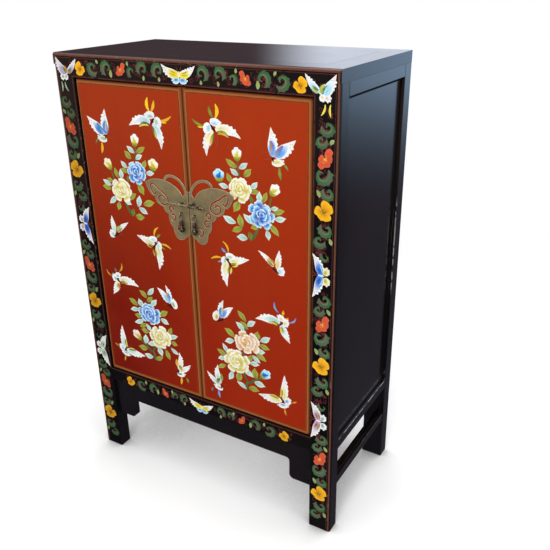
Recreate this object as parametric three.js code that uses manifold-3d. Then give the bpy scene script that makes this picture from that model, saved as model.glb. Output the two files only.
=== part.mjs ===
// A lacquered two-door cabinet on tall legs: mortised frame, pivot-hung doors and a butterfly lock plate.
// Millimetres, +Z up, the doors face -Y, and the floor is at z = 0.
import * as THREE from 'three';
import { mergeVertices } from 'three/addons/utils/BufferGeometryUtils.js';
import Module from 'manifold-3d';

const wasm = await Module();
wasm.setup();

// Driving sizes of the whole cabinet
const cabinetWidth = 800;
const cabinetDepth = 400;
const cabinetHeight = 1200;

// Clearances and cutting
const fitGap = 0.3;
const cutOverrun = 2;
const weldTolerance = 0.0001;
const arrisEase = 0.8;

// Legs: one square-edged post per corner, the front ones with a bead on the outer arris
const legWidth = 62;
const legDepth = 40;
const beadRadius = 7;
const quirkWidth = 1.6;
const quirkDepth = 1;

// Frame joints
const tenonThickness = 12;
const tenonShoulder = 8;
const frontTenonLength = 26;
const sideTenonLength = 18;
const panelTongue = 6;

// Top: mitred frame with a flush floating panel
const topThickness = 28;
const topFrameWidth = 60;
const topPanelThickness = 14;
const topTongueThickness = 6;
const topBattenWidth = 40;

// Rails, each given by its height and the level of its lower edge
const topRailHeight = 30;
const frontBottomRailLevel = 251;
const frontBottomRailHeight = 43;
const sideBottomRailLevel = 253;
const sideBottomRailHeight = 27;
const sideRailThickness = 30;

// Panels and boards
const sidePanelThickness = 10;
const sidePanelRecess = 10;
const backPanelThickness = 10;
const backPanelRecess = 14;
const muntinWidth = 50;
const muntinThickness = 24;
const floorThickness = 12;
const shelfThickness = 15;
const shelfLevel = 700;
const shelfSetback = 50;
const cleatHeight = 16;
const cleatWidth = 18;

// Apron under the front rail, with a bracket at each end
const apronThickness = 20;
const apronRecess = 10;
const apronLowerEdge = 192;
const bracketLowerEdge = 127;
const bracketWidth = 66;
const bracketFillet = 10;
const bracketToeRadius = 13;
const apronTongueThickness = 8;

// Low stretcher between the legs of each side
const stretcherLevel = 135;
const stretcherHeight = 24;
const stretcherThickness = 26;
const stretcherRecess = 2;

// Doors: solid boards that turn on wooden pivots in the rails
const doorThickness = 20;
const doorRecess = 2;
const doorSideGap = 1.5;
const doorEndGap = 2;
const seamGap = 2.5;
const doorBorderWidth = 9;
const borderGrooveWidth = 1.2;
const borderGrooveDepth = 0.8;
const doorEdgeRadius = 3;
const pivotRadius = 5;
const pivotLength = 14;
const doorBattenHeight = 60;
const doorBattenThickness = 15;
const doorBattenInset = 90;
const doorBattenEndInset = 26;
const stopHeight = 12;
const stopThickness = 16;

// Brass lock plate: half a butterfly on each door
const plateThickness = 2;
const plateHalfSpan = 133;
const plateBottom = 763;
const plateHeight = 169;
const plateSlotWidth = 3.4;
const plateChamfer = 0.6;
const antennaWidth = 7;

// Staples that the lock pin runs through
const stapleOffset = 16;
const stapleLevel = 864;
const stapleReach = 16;
const stapleBallRadius = 6;
const stapleNeckRadius = 3;
const stapleCollarRadius = 7;
const stapleCollarHeight = 1.6;
const clenchLength = 26;
const clenchWidth = 4;
const clenchThickness = 1.5;

// Lock pin
const pinRadius = 2.1;
const pinTipReach = 62;
const pinHeadStart = 24;
const pinHeadLength = 34;
const pinCollarRadius = 4.4;
const pinBulbRadius = 4.8;
const pinBore = pinRadius + fitGap;

// Drop pulls: a gourd-shaped drop on a ring, hung from an eye
const pullOffset = 20;
const pullLevel = 837;
const pullReach = 9.5;
const eyeRingRadius = 4.2;
const eyeWireRadius = 1.2;
const pullRingRadius = 5.4;
const pullWireRadius = 1.2;
const pullDropLength = 38;
const pullBulbRadius = 8;

// Smoothness of curved faces
const roundSides = 16;
const arcSteps = 8;

// Derived levels and places
const innerHalfWidth = cabinetWidth / 2 - legWidth;
const frontPlane = -cabinetDepth / 2;
const rearPlane = cabinetDepth / 2;
const innerHalfDepth = cabinetDepth / 2 - legDepth;
const topUnderside = cabinetHeight - topThickness;
const openingTop = topUnderside - topRailHeight;
const openingBottom = frontBottomRailLevel + frontBottomRailHeight;
const sideOpeningBottom = sideBottomRailLevel + sideBottomRailHeight;
const sidePanelOuter = cabinetWidth / 2 - sidePanelRecess;
const sidePanelInner = sidePanelOuter - sidePanelThickness;
const backPanelRear = rearPlane - backPanelRecess;
const backPanelFront = backPanelRear - backPanelThickness;
const doorFront = frontPlane + doorRecess;
const doorRear = doorFront + doorThickness;
const pivotX = innerHalfWidth - doorSideGap - doorThickness / 2;
const pivotY = doorFront + doorThickness / 2;
const doorBottom = openingBottom + doorEndGap;
const doorTop = openingTop - doorEndGap;
const plateFront = doorFront - plateThickness;
const stapleCentreY = plateFront - stapleReach;
const pullCentreY = plateFront - pullReach;
const hardwareReach = frontPlane - stapleCentreY + stapleBallRadius;

// Finishes
const blackLacquer = { color: 0x16120f, roughness: 0.32, metalness: 0 };
const paintedLacquer = { color: 0x1c1410, roughness: 0.34, metalness: 0 };
const redLacquer = { color: 0x9c2a10, roughness: 0.3, metalness: 0 };
const insideWood = { color: 0x6a4a30, roughness: 0.7, metalness: 0 };
const agedBrass = { color: 0x8b7c55, roughness: 0.45, metalness: 0.9 };

// Turns a closed three.js geometry into a solid that can be joined and cut
function toSolid(geometry) {
  const bare = geometry.clone();
  bare.deleteAttribute('normal');
  bare.deleteAttribute('uv');
  const merged = mergeVertices(bare, weldTolerance);
  const corners = [];
  for (let i = 0; i < merged.index.count; i += 3) {
    const [a, b, c] = [0, 1, 2].map((step) => merged.index.getX(i + step));
    if (a !== b && b !== c && c !== a) corners.push(a, b, c);
  }
  const mesh = new wasm.Mesh({
    numProp: 3,
    vertProperties: Float32Array.from(merged.attributes.position.array),
    triVerts: Uint32Array.from(corners),
  });
  return new wasm.Manifold(mesh);
}

// Gives a solid's surface back as a geometry
function toGeometry(solid) {
  const mesh = solid.getMesh();
  const geometry = new THREE.BufferGeometry();
  geometry.setAttribute('position', new THREE.BufferAttribute(mesh.vertProperties, 3));
  geometry.setIndex(new THREE.BufferAttribute(mesh.triVerts, 1));
  geometry.computeVertexNormals();
  return geometry;
}

const joined = (first, ...rest) => rest.reduce((body, piece) => body.add(piece), first);
const cut = (first, ...rest) => rest.reduce((body, piece) => body.subtract(piece), first);

// The mirror image of a geometry across the plane x = 0, with its faces still pointing out
function mirrored(geometry) {
  const copy = geometry.clone().scale(-1, 1, 1);
  for (let i = 0; i < copy.index.count; i += 3) {
    const first = copy.index.getX(i);
    copy.index.setX(i, copy.index.getX(i + 1));
    copy.index.setX(i + 1, first);
  }
  return copy;
}

// The same geometry turned half round about the vertical, which makes a front rail from a rear one
function turnedRound(geometry) {
  return geometry.clone().rotateZ(Math.PI);
}

// Extrusions of a drawn outline along each axis, between two places on that axis
function alongZ(shape, [low, high], options = {}) {
  const settings = { depth: high - low, bevelEnabled: false, curveSegments: arcSteps, ...options };
  return new THREE.ExtrudeGeometry(shape, settings).translate(0, 0, low);
}

function alongY(shape, [low, high]) {
  return alongZ(shape, [0, high - low]).rotateX(Math.PI / 2).translate(0, high, 0);
}

function alongX(shape, [low, high]) {
  const turn = new THREE.Matrix4();
  turn.makeBasis(new THREE.Vector3(0, 1, 0), new THREE.Vector3(0, 0, 1), new THREE.Vector3(1, 0, 0));
  return alongZ(shape, [0, high - low]).applyMatrix4(turn).translate(low, 0, 0);
}

// A plain rectangular block between two places on each axis
function block({ x, y, z }) {
  const geometry = new THREE.BoxGeometry(x[1] - x[0], y[1] - y[0], z[1] - z[0]);
  return geometry.translate((x[0] + x[1]) / 2, (y[0] + y[1]) / 2, (z[0] + z[1]) / 2);
}

const blockSolid = (ranges) => toSolid(block(ranges));

// The same block grown by a gap on every side, as the mortise that holds it
function mortiseFor(ranges, gap = fitGap) {
  const grow = ([low, high]) => [low - gap, high + gap];
  return blockSolid({ x: grow(ranges.x), y: grow(ranges.y), z: grow(ranges.z) });
}

// A block whose twelve edges are lightly eased, as a plane leaves them
function easedBlock({ x, y, z }, ease = arrisEase) {
  const outline = new THREE.Shape();
  outline.moveTo(x[0] + ease * 2, y[0] + ease);
  outline.lineTo(x[1] - ease * 2, y[0] + ease);
  outline.lineTo(x[1] - ease, y[0] + ease * 2);
  outline.lineTo(x[1] - ease, y[1] - ease * 2);
  outline.lineTo(x[1] - ease * 2, y[1] - ease);
  outline.lineTo(x[0] + ease * 2, y[1] - ease);
  outline.lineTo(x[0] + ease, y[1] - ease * 2);
  outline.lineTo(x[0] + ease, y[0] + ease * 2);
  outline.closePath();
  const bevel = { bevelEnabled: true, bevelThickness: ease, bevelSize: ease, bevelSegments: 1 };
  return toSolid(alongZ(outline, [z[0] + ease, z[1] - ease], bevel));
}

// A turned solid: a profile of (radius, distance) pairs spun about an axis through a point
function turned(profile, axis, [x, y, z], sides = roundSides) {
  const points = profile.map(([radius, distance]) => new THREE.Vector2(radius, distance));
  const geometry = new THREE.LatheGeometry(points, sides);
  if (axis === 'x') geometry.rotateZ(-Math.PI / 2);
  if (axis === 'y') geometry.rotateX(Math.PI);
  if (axis === 'z') geometry.rotateX(Math.PI / 2);
  return toSolid(geometry.translate(x, y, z));
}

// A round rod between two places along an axis
function rod(radius, axis, centre, [low, high], sides = roundSides) {
  const geometry = new THREE.CylinderGeometry(radius, radius, high - low, sides);
  geometry.translate(0, (low + high) / 2, 0);
  if (axis === 'x') geometry.rotateZ(-Math.PI / 2);
  if (axis === 'z') geometry.rotateX(Math.PI / 2);
  return toSolid(geometry.translate(...centre));
}

// A wire ring; its axis is 'x' or 'y'
function wireRing(ringRadius, wireRadius, axis, centre) {
  const geometry = new THREE.TorusGeometry(ringRadius, wireRadius, arcSteps, roundSides);
  if (axis === 'x') geometry.rotateY(Math.PI / 2);
  if (axis === 'y') geometry.rotateX(Math.PI / 2);
  return toSolid(geometry.translate(...centre));
}

// A strip of even width that follows a smooth line, with round ends
function stripOutline(points, width, steps) {
  const line = new THREE.SplineCurve(points.map(([x, z]) => new THREE.Vector2(x, z)));
  const beside = (point, angle) => new THREE.Vector2(
    point.x + Math.cos(angle) * width / 2,
    point.y + Math.sin(angle) * width / 2,
  );
  const side = (sign) => line.getSpacedPoints(steps).map((point, i) => (
    beside(point, line.getTangentAt(i / steps).angle() + sign * Math.PI / 2)
  ));
  const cap = (end, outward) => {
    const start = outward.angle() - Math.PI / 2;
    return [1, 2, 3].map((step) => beside(line.getPointAt(end), start + step * Math.PI / 4));
  };
  const outline = [
    ...side(-1),
    ...cap(1, line.getTangentAt(1)),
    ...side(1).reverse(),
    ...cap(0, line.getTangentAt(0).negate()),
  ];
  return new THREE.Shape(outline);
}

// Tenons and tongues, as the ranges that both the tenon and its mortise are made from
const railTenonZ = (level, height) => [level + tenonShoulder, level + height - tenonShoulder];
const centred = (middle, size) => [middle - size / 2, middle + size / 2];
const legMiddleY = innerHalfDepth + legDepth / 2;
const sideRailMiddleX = cabinetWidth / 2 - sideRailThickness / 2;
const stretcherMiddleX = cabinetWidth / 2 - stretcherRecess - stretcherThickness / 2;
const frontTenonX = [innerHalfWidth, innerHalfWidth + frontTenonLength];
const sideTenonY = [innerHalfDepth, innerHalfDepth + sideTenonLength];
const railTenonY = centred(legMiddleY, tenonThickness);

const rearTopTenon = { x: frontTenonX, y: railTenonY, z: railTenonZ(openingTop, topRailHeight) };
const rearBottomTenon = { ...rearTopTenon, z: railTenonZ(frontBottomRailLevel, frontBottomRailHeight) };
const sideTopTenon = {
  x: centred(sideRailMiddleX, tenonThickness),
  y: sideTenonY,
  z: railTenonZ(openingTop, topRailHeight),
};
const sideBottomTenon = { ...sideTopTenon, z: railTenonZ(sideBottomRailLevel, sideBottomRailHeight) };
const stretcherTenon = {
  x: centred(stretcherMiddleX, tenonThickness),
  y: sideTenonY,
  z: centred(stretcherLevel + stretcherHeight / 2, stretcherHeight - tenonShoulder),
};
const sidePanelRange = {
  x: [sidePanelInner, sidePanelOuter],
  y: [-innerHalfDepth - panelTongue, innerHalfDepth + panelTongue],
  z: [sideOpeningBottom - panelTongue, openingTop + panelTongue],
};
const backPanelRange = {
  x: [muntinWidth / 2 - panelTongue, innerHalfWidth + panelTongue],
  y: [backPanelFront, backPanelRear],
  z: [openingBottom - panelTongue, openingTop + panelTongue],
};
const muntinTenon = {
  x: centred(0, muntinWidth - panelTongue * 4),
  y: [backPanelFront, backPanelRear],
  z: [openingBottom - sideTenonLength, openingTop + sideTenonLength],
};
const apronMiddleY = frontPlane + apronRecess + apronThickness / 2;
const apronTongue = {
  x: [innerHalfWidth, innerHalfWidth + panelTongue],
  y: centred(apronMiddleY, apronTongueThickness),
  z: [bracketLowerEdge + tenonShoulder, frontBottomRailLevel - tenonShoulder],
};

const reflectedY = ({ x, y, z }) => ({ x, y: [-y[1], -y[0]], z });
const reflectedX = ({ x, y, z }) => ({ x: [-x[1], -x[0]], y, z });

// What is cut away to leave a bead on the outer front arris of a leg, drawn in plan for the right side
function beadWaste(outerX, frontY) {
  const waste = new THREE.Shape();
  waste.moveTo(outerX - beadRadius - quirkWidth, frontY - cutOverrun);
  waste.lineTo(outerX - beadRadius - quirkWidth, frontY);
  waste.lineTo(outerX - beadRadius - quirkWidth / 2, frontY + quirkDepth);
  waste.lineTo(outerX - beadRadius, frontY);
  for (let step = 1; step <= arcSteps; step += 1) {
    const angle = (step / arcSteps - 1) * Math.PI / 2;
    const x = outerX - beadRadius + Math.cos(angle) * beadRadius;
    waste.lineTo(x, frontY + beadRadius + Math.sin(angle) * beadRadius);
  }
  waste.lineTo(outerX + cutOverrun, frontY + beadRadius);
  waste.lineTo(outerX + cutOverrun, frontY - cutOverrun);
  waste.closePath();
  return waste;
}

// Right-hand legs, before the left ones are mirrored from them
function legRange(front) {
  const y = front ? [frontPlane, -innerHalfDepth] : [innerHalfDepth, rearPlane];
  return { x: [innerHalfWidth, cabinetWidth / 2], y, z: [0, topUnderside] };
}

function frontLeg() {
  const bead = beadWaste(cabinetWidth / 2, frontPlane);
  const waste = toSolid(alongZ(bead, [-cutOverrun, topUnderside + cutOverrun]));
  const mortises = [rearTopTenon, rearBottomTenon, sideTopTenon, sideBottomTenon, stretcherTenon];
  return toGeometry(cut(
    easedBlock(legRange(true)),
    waste,
    ...mortises.map((tenon) => mortiseFor(reflectedY(tenon))),
    mortiseFor(apronTongue),
    mortiseFor(sidePanelRange),
  ));
}

function rearLeg() {
  const mortises = [rearTopTenon, rearBottomTenon, sideTopTenon, sideBottomTenon, stretcherTenon];
  return toGeometry(cut(
    easedBlock(legRange(false)),
    ...mortises.map((tenon) => mortiseFor(tenon)),
    mortiseFor(sidePanelRange),
    mortiseFor(backPanelRange),
  ));
}

// A rail between the rear legs, with a tenon at each end; the front ones are its copies
function crossRail(level, height, tenon, cuts = []) {
  const body = easedBlock({
    x: [-innerHalfWidth, innerHalfWidth],
    y: [innerHalfDepth, rearPlane],
    z: [level, level + height],
  });
  const ends = [tenon, reflectedX(tenon)].map(blockSolid);
  return cut(joined(body, ...ends), ...cuts);
}

// The sockets in a front rail that the door pivots turn in
function pivotSockets(level, direction) {
  const reach = [level - cutOverrun * direction, level + (pivotLength + fitGap) * direction];
  const span = [Math.min(...reach), Math.max(...reach)];
  return [-pivotX, pivotX].map((x) => rod(pivotRadius + fitGap, 'z', [x, pivotY, 0], span));
}

function frontRail(level, height, tenon, sockets) {
  const rail = toGeometry(crossRail(level, height, tenon));
  return toGeometry(cut(toSolid(turnedRound(rail)), ...sockets));
}

// The groove along a cross rail, and both grooves of the muntin, that the back panels stand in
function backGrooves() {
  const panels = [backPanelRange, reflectedX(backPanelRange)];
  return panels.map((panel) => mortiseFor(panel));
}

function rearRail(level, height, tenon) {
  return toGeometry(crossRail(level, height, tenon, [...backGrooves(), mortiseFor(muntinTenon)]));
}

function backMuntin() {
  const middleY = (backPanelFront + backPanelRear) / 2;
  const body = easedBlock({
    x: [-muntinWidth / 2, muntinWidth / 2],
    y: centred(middleY, muntinThickness),
    z: [openingBottom, openingTop],
  });
  return toGeometry(cut(joined(body, blockSolid(muntinTenon)), ...backGrooves()));
}

function sideRail(level, height, thickness, middleX, tenon, cuts = []) {
  const body = easedBlock({
    x: centred(middleX, thickness),
    y: [-innerHalfDepth, innerHalfDepth],
    z: [level, level + height],
  });
  return toGeometry(cut(joined(body, blockSolid(tenon), blockSolid(reflectedY(tenon))), ...cuts));
}

// The apron board with a rounded bracket at each end, all in one piece
function apron() {
  const inner = innerHalfWidth - bracketWidth;
  const toe = [inner + bracketToeRadius, bracketLowerEdge + bracketToeRadius, bracketToeRadius];
  const fillet = [inner - bracketFillet, apronLowerEdge - bracketFillet, bracketFillet];
  const onLeft = ([x, z, radius]) => [-x, z, radius];
  const outline = new THREE.Shape();
  outline.moveTo(-innerHalfWidth, frontBottomRailLevel);
  outline.lineTo(-innerHalfWidth, bracketLowerEdge);
  outline.absarc(...onLeft(toe), -Math.PI / 2, 0, false);
  outline.absarc(...onLeft(fillet), Math.PI, Math.PI / 2, true);
  outline.absarc(...fillet, Math.PI / 2, 0, true);
  outline.absarc(...toe, Math.PI, Math.PI * 1.5, false);
  outline.lineTo(innerHalfWidth, bracketLowerEdge);
  outline.lineTo(innerHalfWidth, frontBottomRailLevel);
  outline.closePath();
  const board = toSolid(alongY(outline, centred(apronMiddleY, apronThickness)));
  return toGeometry(joined(board, blockSolid(apronTongue), blockSolid(reflectedX(apronTongue))));
}

// The level of the top panel, and the range of the tongue round it
const topPanelZ = [cabinetHeight - topPanelThickness, cabinetHeight];
const topTongueRange = {
  x: [-cabinetWidth / 2 + topFrameWidth - panelTongue, cabinetWidth / 2 - topFrameWidth + panelTongue],
  y: [frontPlane + topFrameWidth - panelTongue, rearPlane - topFrameWidth + panelTongue],
  z: [topPanelZ[0], topPanelZ[0] + topTongueThickness],
};

// One mitred member of the top frame, drawn in plan and grooved for the panel
function topMember(outer, inner) {
  const corners = [outer[0], outer[1], inner[1], inner[0]];
  const outline = new THREE.Shape(corners.map(([x, y]) => new THREE.Vector2(x, y)));
  return cut(toSolid(alongZ(outline, [topUnderside, cabinetHeight])), mortiseFor(topTongueRange));
}

function topCorner(signX, signY, inset) {
  return [signX * (cabinetWidth / 2 - inset), signY * (cabinetDepth / 2 - inset)];
}

// What is cut from the top's front edge to leave a bead under a rounded upper arris, seen from the end
function edgeBeadWaste() {
  const plan = beadWaste(cabinetHeight, frontPlane);
  const shape = new THREE.Shape(plan.getPoints().map(({ x, y }) => new THREE.Vector2(y, x)).reverse());
  return toSolid(alongX(shape, [-cabinetWidth / 2 - cutOverrun, cabinetWidth / 2 + cutOverrun]));
}

function topFront() {
  const outer = [topCorner(-1, -1, 0), topCorner(1, -1, 0)];
  const inner = [topCorner(-1, -1, topFrameWidth), topCorner(1, -1, topFrameWidth)];
  return toGeometry(cut(topMember(outer, inner), edgeBeadWaste()));
}

function topRear() {
  const outer = [topCorner(1, 1, 0), topCorner(-1, 1, 0)];
  const inner = [topCorner(1, 1, topFrameWidth), topCorner(-1, 1, topFrameWidth)];
  return toGeometry(topMember(outer, inner));
}

function topSide() {
  const outer = [topCorner(1, -1, 0), topCorner(1, 1, 0)];
  const inner = [topCorner(1, -1, topFrameWidth), topCorner(1, 1, topFrameWidth)];
  return toGeometry(cut(topMember(outer, inner), edgeBeadWaste()));
}

function topPanel() {
  const halfWidth = cabinetWidth / 2 - topFrameWidth - fitGap;
  const halfDepth = cabinetDepth / 2 - topFrameWidth - fitGap;
  const face = { x: [-halfWidth, halfWidth], y: [-halfDepth, halfDepth], z: topPanelZ };
  return toGeometry(joined(easedBlock(face), blockSolid(topTongueRange)));
}

function topBatten() {
  const halfDepth = cabinetDepth / 2 - topFrameWidth;
  return toGeometry(easedBlock({
    x: centred(0, topBattenWidth),
    y: [-halfDepth, halfDepth],
    z: [topUnderside, topPanelZ[0]],
  }));
}

// Boards inside the case
function floorBoard() {
  const halfWidth = sidePanelInner - fitGap;
  const halfDepth = innerHalfDepth - fitGap;
  return toGeometry(easedBlock({
    x: [-halfWidth, halfWidth],
    y: [-halfDepth, halfDepth],
    z: [sideOpeningBottom, sideOpeningBottom + floorThickness],
  }));
}

function shelfBoard() {
  const halfWidth = sidePanelInner - fitGap;
  return toGeometry(easedBlock({
    x: [-halfWidth, halfWidth],
    y: [frontPlane + shelfSetback, innerHalfDepth - fitGap],
    z: [shelfLevel, shelfLevel + shelfThickness],
  }));
}

function shelfCleat() {
  return toGeometry(easedBlock({
    x: [sidePanelInner - cleatWidth, sidePanelInner],
    y: [frontPlane + shelfSetback, innerHalfDepth - fitGap],
    z: [shelfLevel - cleatHeight, shelfLevel],
  }));
}

function doorStop(level) {
  return toGeometry(easedBlock({
    x: [-innerHalfWidth, innerHalfWidth],
    y: [doorRear + fitGap, doorRear + fitGap + stopThickness],
    z: [level, level + stopHeight],
  }));
}

// The plan of the right-hand door: a half-round edge about the pivot and a square meeting edge
function doorPlan() {
  const radius = doorEdgeRadius;
  const plan = new THREE.Shape();
  plan.moveTo(seamGap / 2, doorRear);
  plan.lineTo(seamGap / 2, doorFront + radius);
  plan.absarc(seamGap / 2 + radius, doorFront + radius, radius, Math.PI, Math.PI * 1.5, false);
  plan.absarc(pivotX, pivotY, doorThickness / 2, -Math.PI / 2, Math.PI / 2, false);
  plan.closePath();
  return plan;
}

// The same door seen from its edge, with the front arrises rounded at the top and the bottom
function doorProfile() {
  const radius = doorEdgeRadius;
  const profile = new THREE.Shape();
  profile.moveTo(doorRear, doorBottom);
  profile.lineTo(doorRear, doorTop);
  profile.absarc(doorFront + radius, doorTop - radius, radius, Math.PI / 2, Math.PI, false);
  profile.absarc(doorFront + radius, doorBottom + radius, radius, Math.PI, Math.PI * 1.5, false);
  profile.closePath();
  return profile;
}

// The fine groove that sets the door's border off from its field
function borderGroove() {
  const left = seamGap / 2 + doorBorderWidth;
  const right = pivotX + doorThickness / 2 - doorBorderWidth;
  const low = doorBottom + doorBorderWidth;
  const high = doorTop - doorBorderWidth;
  const y = [doorFront - cutOverrun, doorFront + borderGrooveDepth];
  const from = (start) => [start, start + borderGrooveWidth];
  const uprights = [left, right - borderGrooveWidth].map((x) => ({ x: from(x), y, z: [low, high] }));
  const levels = [low, high - borderGrooveWidth].map((z) => ({ x: [left, right], y, z: from(z) }));
  return [...uprights, ...levels].map(blockSolid);
}

// Bores through the door and its plate for the staple and the pull's eye
function hardwareBores() {
  const depth = [frontPlane - cutOverrun, doorRear + cutOverrun];
  return [
    rod(stapleNeckRadius + fitGap, 'y', [stapleOffset, 0, stapleLevel], depth),
    rod(eyeWireRadius + fitGap, 'y', [pullOffset, 0, pullLevel], depth),
  ];
}

function doorBoard() {
  const slab = toSolid(alongZ(doorPlan(), [doorBottom, doorTop]));
  const edges = toSolid(alongX(doorProfile(), [0, cabinetWidth / 2]));
  const pivotEnds = [openingBottom - pivotLength, openingTop + pivotLength];
  const pivots = rod(pivotRadius, 'z', [pivotX, pivotY, 0], pivotEnds);
  return toGeometry(cut(joined(slab.intersect(edges), pivots), ...borderGroove(), ...hardwareBores()));
}

function doorBatten(level) {
  return toGeometry(easedBlock({
    x: [seamGap / 2 + doorBattenEndInset, pivotX - doorBattenEndInset],
    y: [doorRear, doorRear + doorBattenThickness],
    z: [level, level + doorBattenHeight],
  }));
}

// Outline of the right half of the butterfly, in shares of its half span and its height.
// Each scallop runs from one notch to the next round the point between them.
const leadingEdgeShares = [
  [[0.07, 0.775], [0.13, 0.68]],
  [[0.2, 0.8], [0.35, 0.845]],
  [[0.47, 0.89], [0.6, 0.895]],
  [[0.86, 0.91], [1, 0.815]],
];
const scallopShares = [
  [[0.93, 0.62], [0.8, 0.615]],
  [[0.785, 0.5], [0.61, 0.475]],
  [[0.59, 0.395], [0.495, 0.38]],
  [[0.515, 0.235], [0.405, 0.18]],
  [[0.39, 0.005], [0.26, 0]],
  [[0.15, 0.005], [0.135, 0.055]],
];
const seamEdgeShare = seamGap / 2 / plateHalfSpan;
const seamTopShare = 0.775;
const seamFootShares = [[0.08, 0.06], [seamEdgeShare, 0.13]];

// Centre lines of the pierced scrolls and of the antenna, in the same shares
const wingScrollShares = [
  [0.76, 0.685], [0.795, 0.657], [0.84, 0.68], [0.872, 0.735], [0.878, 0.79], [0.835, 0.815], [0.77, 0.79],
  [0.69, 0.74], [0.6, 0.7], [0.525, 0.655], [0.485, 0.595], [0.505, 0.54], [0.575, 0.515], [0.66, 0.53],
  [0.705, 0.58], [0.69, 0.63], [0.63, 0.645], [0.585, 0.615],
];
const upperHookShares = [
  [0.37, 0.455], [0.385, 0.49], [0.43, 0.503], [0.472, 0.475], [0.46, 0.435], [0.415, 0.43],
];
const lowerHookShares = [
  [0.42, 0.385], [0.37, 0.385], [0.337, 0.35], [0.345, 0.31], [0.39, 0.293], [0.42, 0.315],
];
const tailScrollShares = [
  [0.15, 0.235], [0.22, 0.255], [0.285, 0.215], [0.285, 0.155], [0.225, 0.125], [0.185, 0.155],
];
const antennaShares = [
  [0.05, 0.7], [0.07, 0.79], [0.135, 0.875], [0.235, 0.94], [0.36, 0.968], [0.465, 0.955], [0.53, 0.905],
  [0.525, 0.855], [0.465, 0.85],
];

const platePoint = ([across, up]) => [across * plateHalfSpan, plateBottom + up * plateHeight];

function plateOutline() {
  const outline = new THREE.Shape();
  outline.moveTo(...platePoint([seamEdgeShare, seamTopShare]));
  for (const [control, end] of [...leadingEdgeShares, ...scallopShares, seamFootShares]) {
    outline.quadraticCurveTo(...platePoint(control), ...platePoint(end));
  }
  outline.closePath();
  return outline;
}

const chamfer = {
  bevelEnabled: true,
  bevelThickness: plateChamfer,
  bevelSize: plateChamfer,
  bevelSegments: 1,
};

// Stands a bevelled extrusion of a front view on the door; its heights are measured out from the door
function onDoor(outline, heights, options) {
  const raised = alongZ(outline, heights, options);
  return toSolid(raised.rotateX(Math.PI / 2).translate(0, doorFront, 0));
}

// Sheet brass with its front arris chamfered; its back is flat on the door
function sheet(outline) {
  const inset = { ...chamfer, bevelOffset: -plateChamfer };
  const bevelled = onDoor(outline, [0, plateThickness - plateChamfer], inset);
  const behind = { x: [-cabinetWidth, cabinetWidth], y: [doorFront, doorRear], z: [0, cabinetHeight] };
  return bevelled.subtract(blockSolid(behind));
}

// A slot sawn through the sheet, whose front arris is chamfered too
function piercing(shares, steps) {
  const outline = stripOutline(shares.map(platePoint), plateSlotWidth, steps);
  const slot = onDoor(outline, [-cutOverrun, plateThickness + cutOverrun], {});
  return slot.add(onDoor(outline, [plateThickness, plateThickness + cutOverrun], chamfer));
}

function lockPlate() {
  const antenna = stripOutline(antennaShares.map(platePoint), antennaWidth, arcSteps * 3);
  const piercings = [
    piercing(wingScrollShares, arcSteps * 6),
    piercing(upperHookShares, arcSteps * 2),
    piercing(lowerHookShares, arcSteps * 2),
    piercing(tailScrollShares, arcSteps * 2),
  ];
  return toGeometry(cut(sheet(plateOutline()).add(sheet(antenna)), ...piercings, ...hardwareBores()));
}

// The two legs of a staple or an eye, bent flat against the back of the door
function clench(x, level, length, width) {
  return blockSolid({
    x: centred(x, width),
    y: [doorRear, doorRear + clenchThickness],
    z: centred(level, length),
  });
}

function pinStaple() {
  const ball = new THREE.SphereGeometry(stapleBallRadius, roundSides, arcSteps);
  const axis = [stapleOffset, 0, stapleLevel];
  const body = joined(
    toSolid(ball.translate(stapleOffset, stapleCentreY, stapleLevel)),
    rod(stapleNeckRadius, 'y', axis, [stapleCentreY, doorRear + clenchThickness]),
    rod(stapleCollarRadius, 'y', axis, [plateFront - stapleCollarHeight, plateFront]),
    clench(stapleOffset, stapleLevel, clenchLength, clenchWidth),
  );
  const bore = rod(pinBore, 'x', [0, stapleCentreY, stapleLevel], [0, stapleOffset * 2]);
  return toGeometry(body.subtract(bore));
}

function pullEye() {
  const shank = [pullCentreY + eyeRingRadius, doorRear + clenchThickness];
  return toGeometry(joined(
    wireRing(eyeRingRadius, eyeWireRadius, 'x', [pullOffset, pullCentreY, pullLevel]),
    rod(eyeWireRadius, 'y', [pullOffset, 0, pullLevel], shank),
    clench(pullOffset, pullLevel, clenchLength / 2, clenchWidth / 2),
  ));
}

// The pull hangs with its ring just above the lower inside of the eye
const pullHingeLevel = pullLevel - eyeRingRadius + eyeWireRadius + pullWireRadius + fitGap;
const pullRingLevel = pullHingeLevel - pullRingRadius;

// Profile of the drop from its neck down, in shares of its bulb's radius and its length
const dropShares = [
  [0, 0], [0.28, 0.04], [0.3, 0.1], [0.6, 0.2], [0.72, 0.32], [0.58, 0.44], [0.42, 0.5], [0.66, 0.56],
  [0.95, 0.67], [1, 0.77], [0.82, 0.88], [0.4, 0.945], [0.26, 0.96], [0.24, 0.99], [0, 1],
];

function dropPull() {
  const top = pullRingLevel - pullRingRadius;
  const profile = dropShares.map(([out, down]) => [out * pullBulbRadius, -down * pullDropLength]).reverse();
  const drop = turned(profile, 'z', [pullOffset, pullCentreY, top + pullWireRadius / 2]);
  const ring = wireRing(pullRingRadius, pullWireRadius, 'y', [pullOffset, pullCentreY, pullRingLevel]);
  return toGeometry(drop.add(ring));
}

// The pin's head: a collar, a neck and a bulb, as radii and shares of the head's length
const pinHeadRadii = [
  pinRadius, pinCollarRadius, pinCollarRadius, pinRadius, pinRadius, pinBulbRadius, pinBulbRadius, pinRadius,
  pinRadius, 0,
];
const pinHeadShares = [0, 0.02, 0.1, 0.18, 0.3, 0.55, 0.72, 0.88, 0.95, 1];

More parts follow.
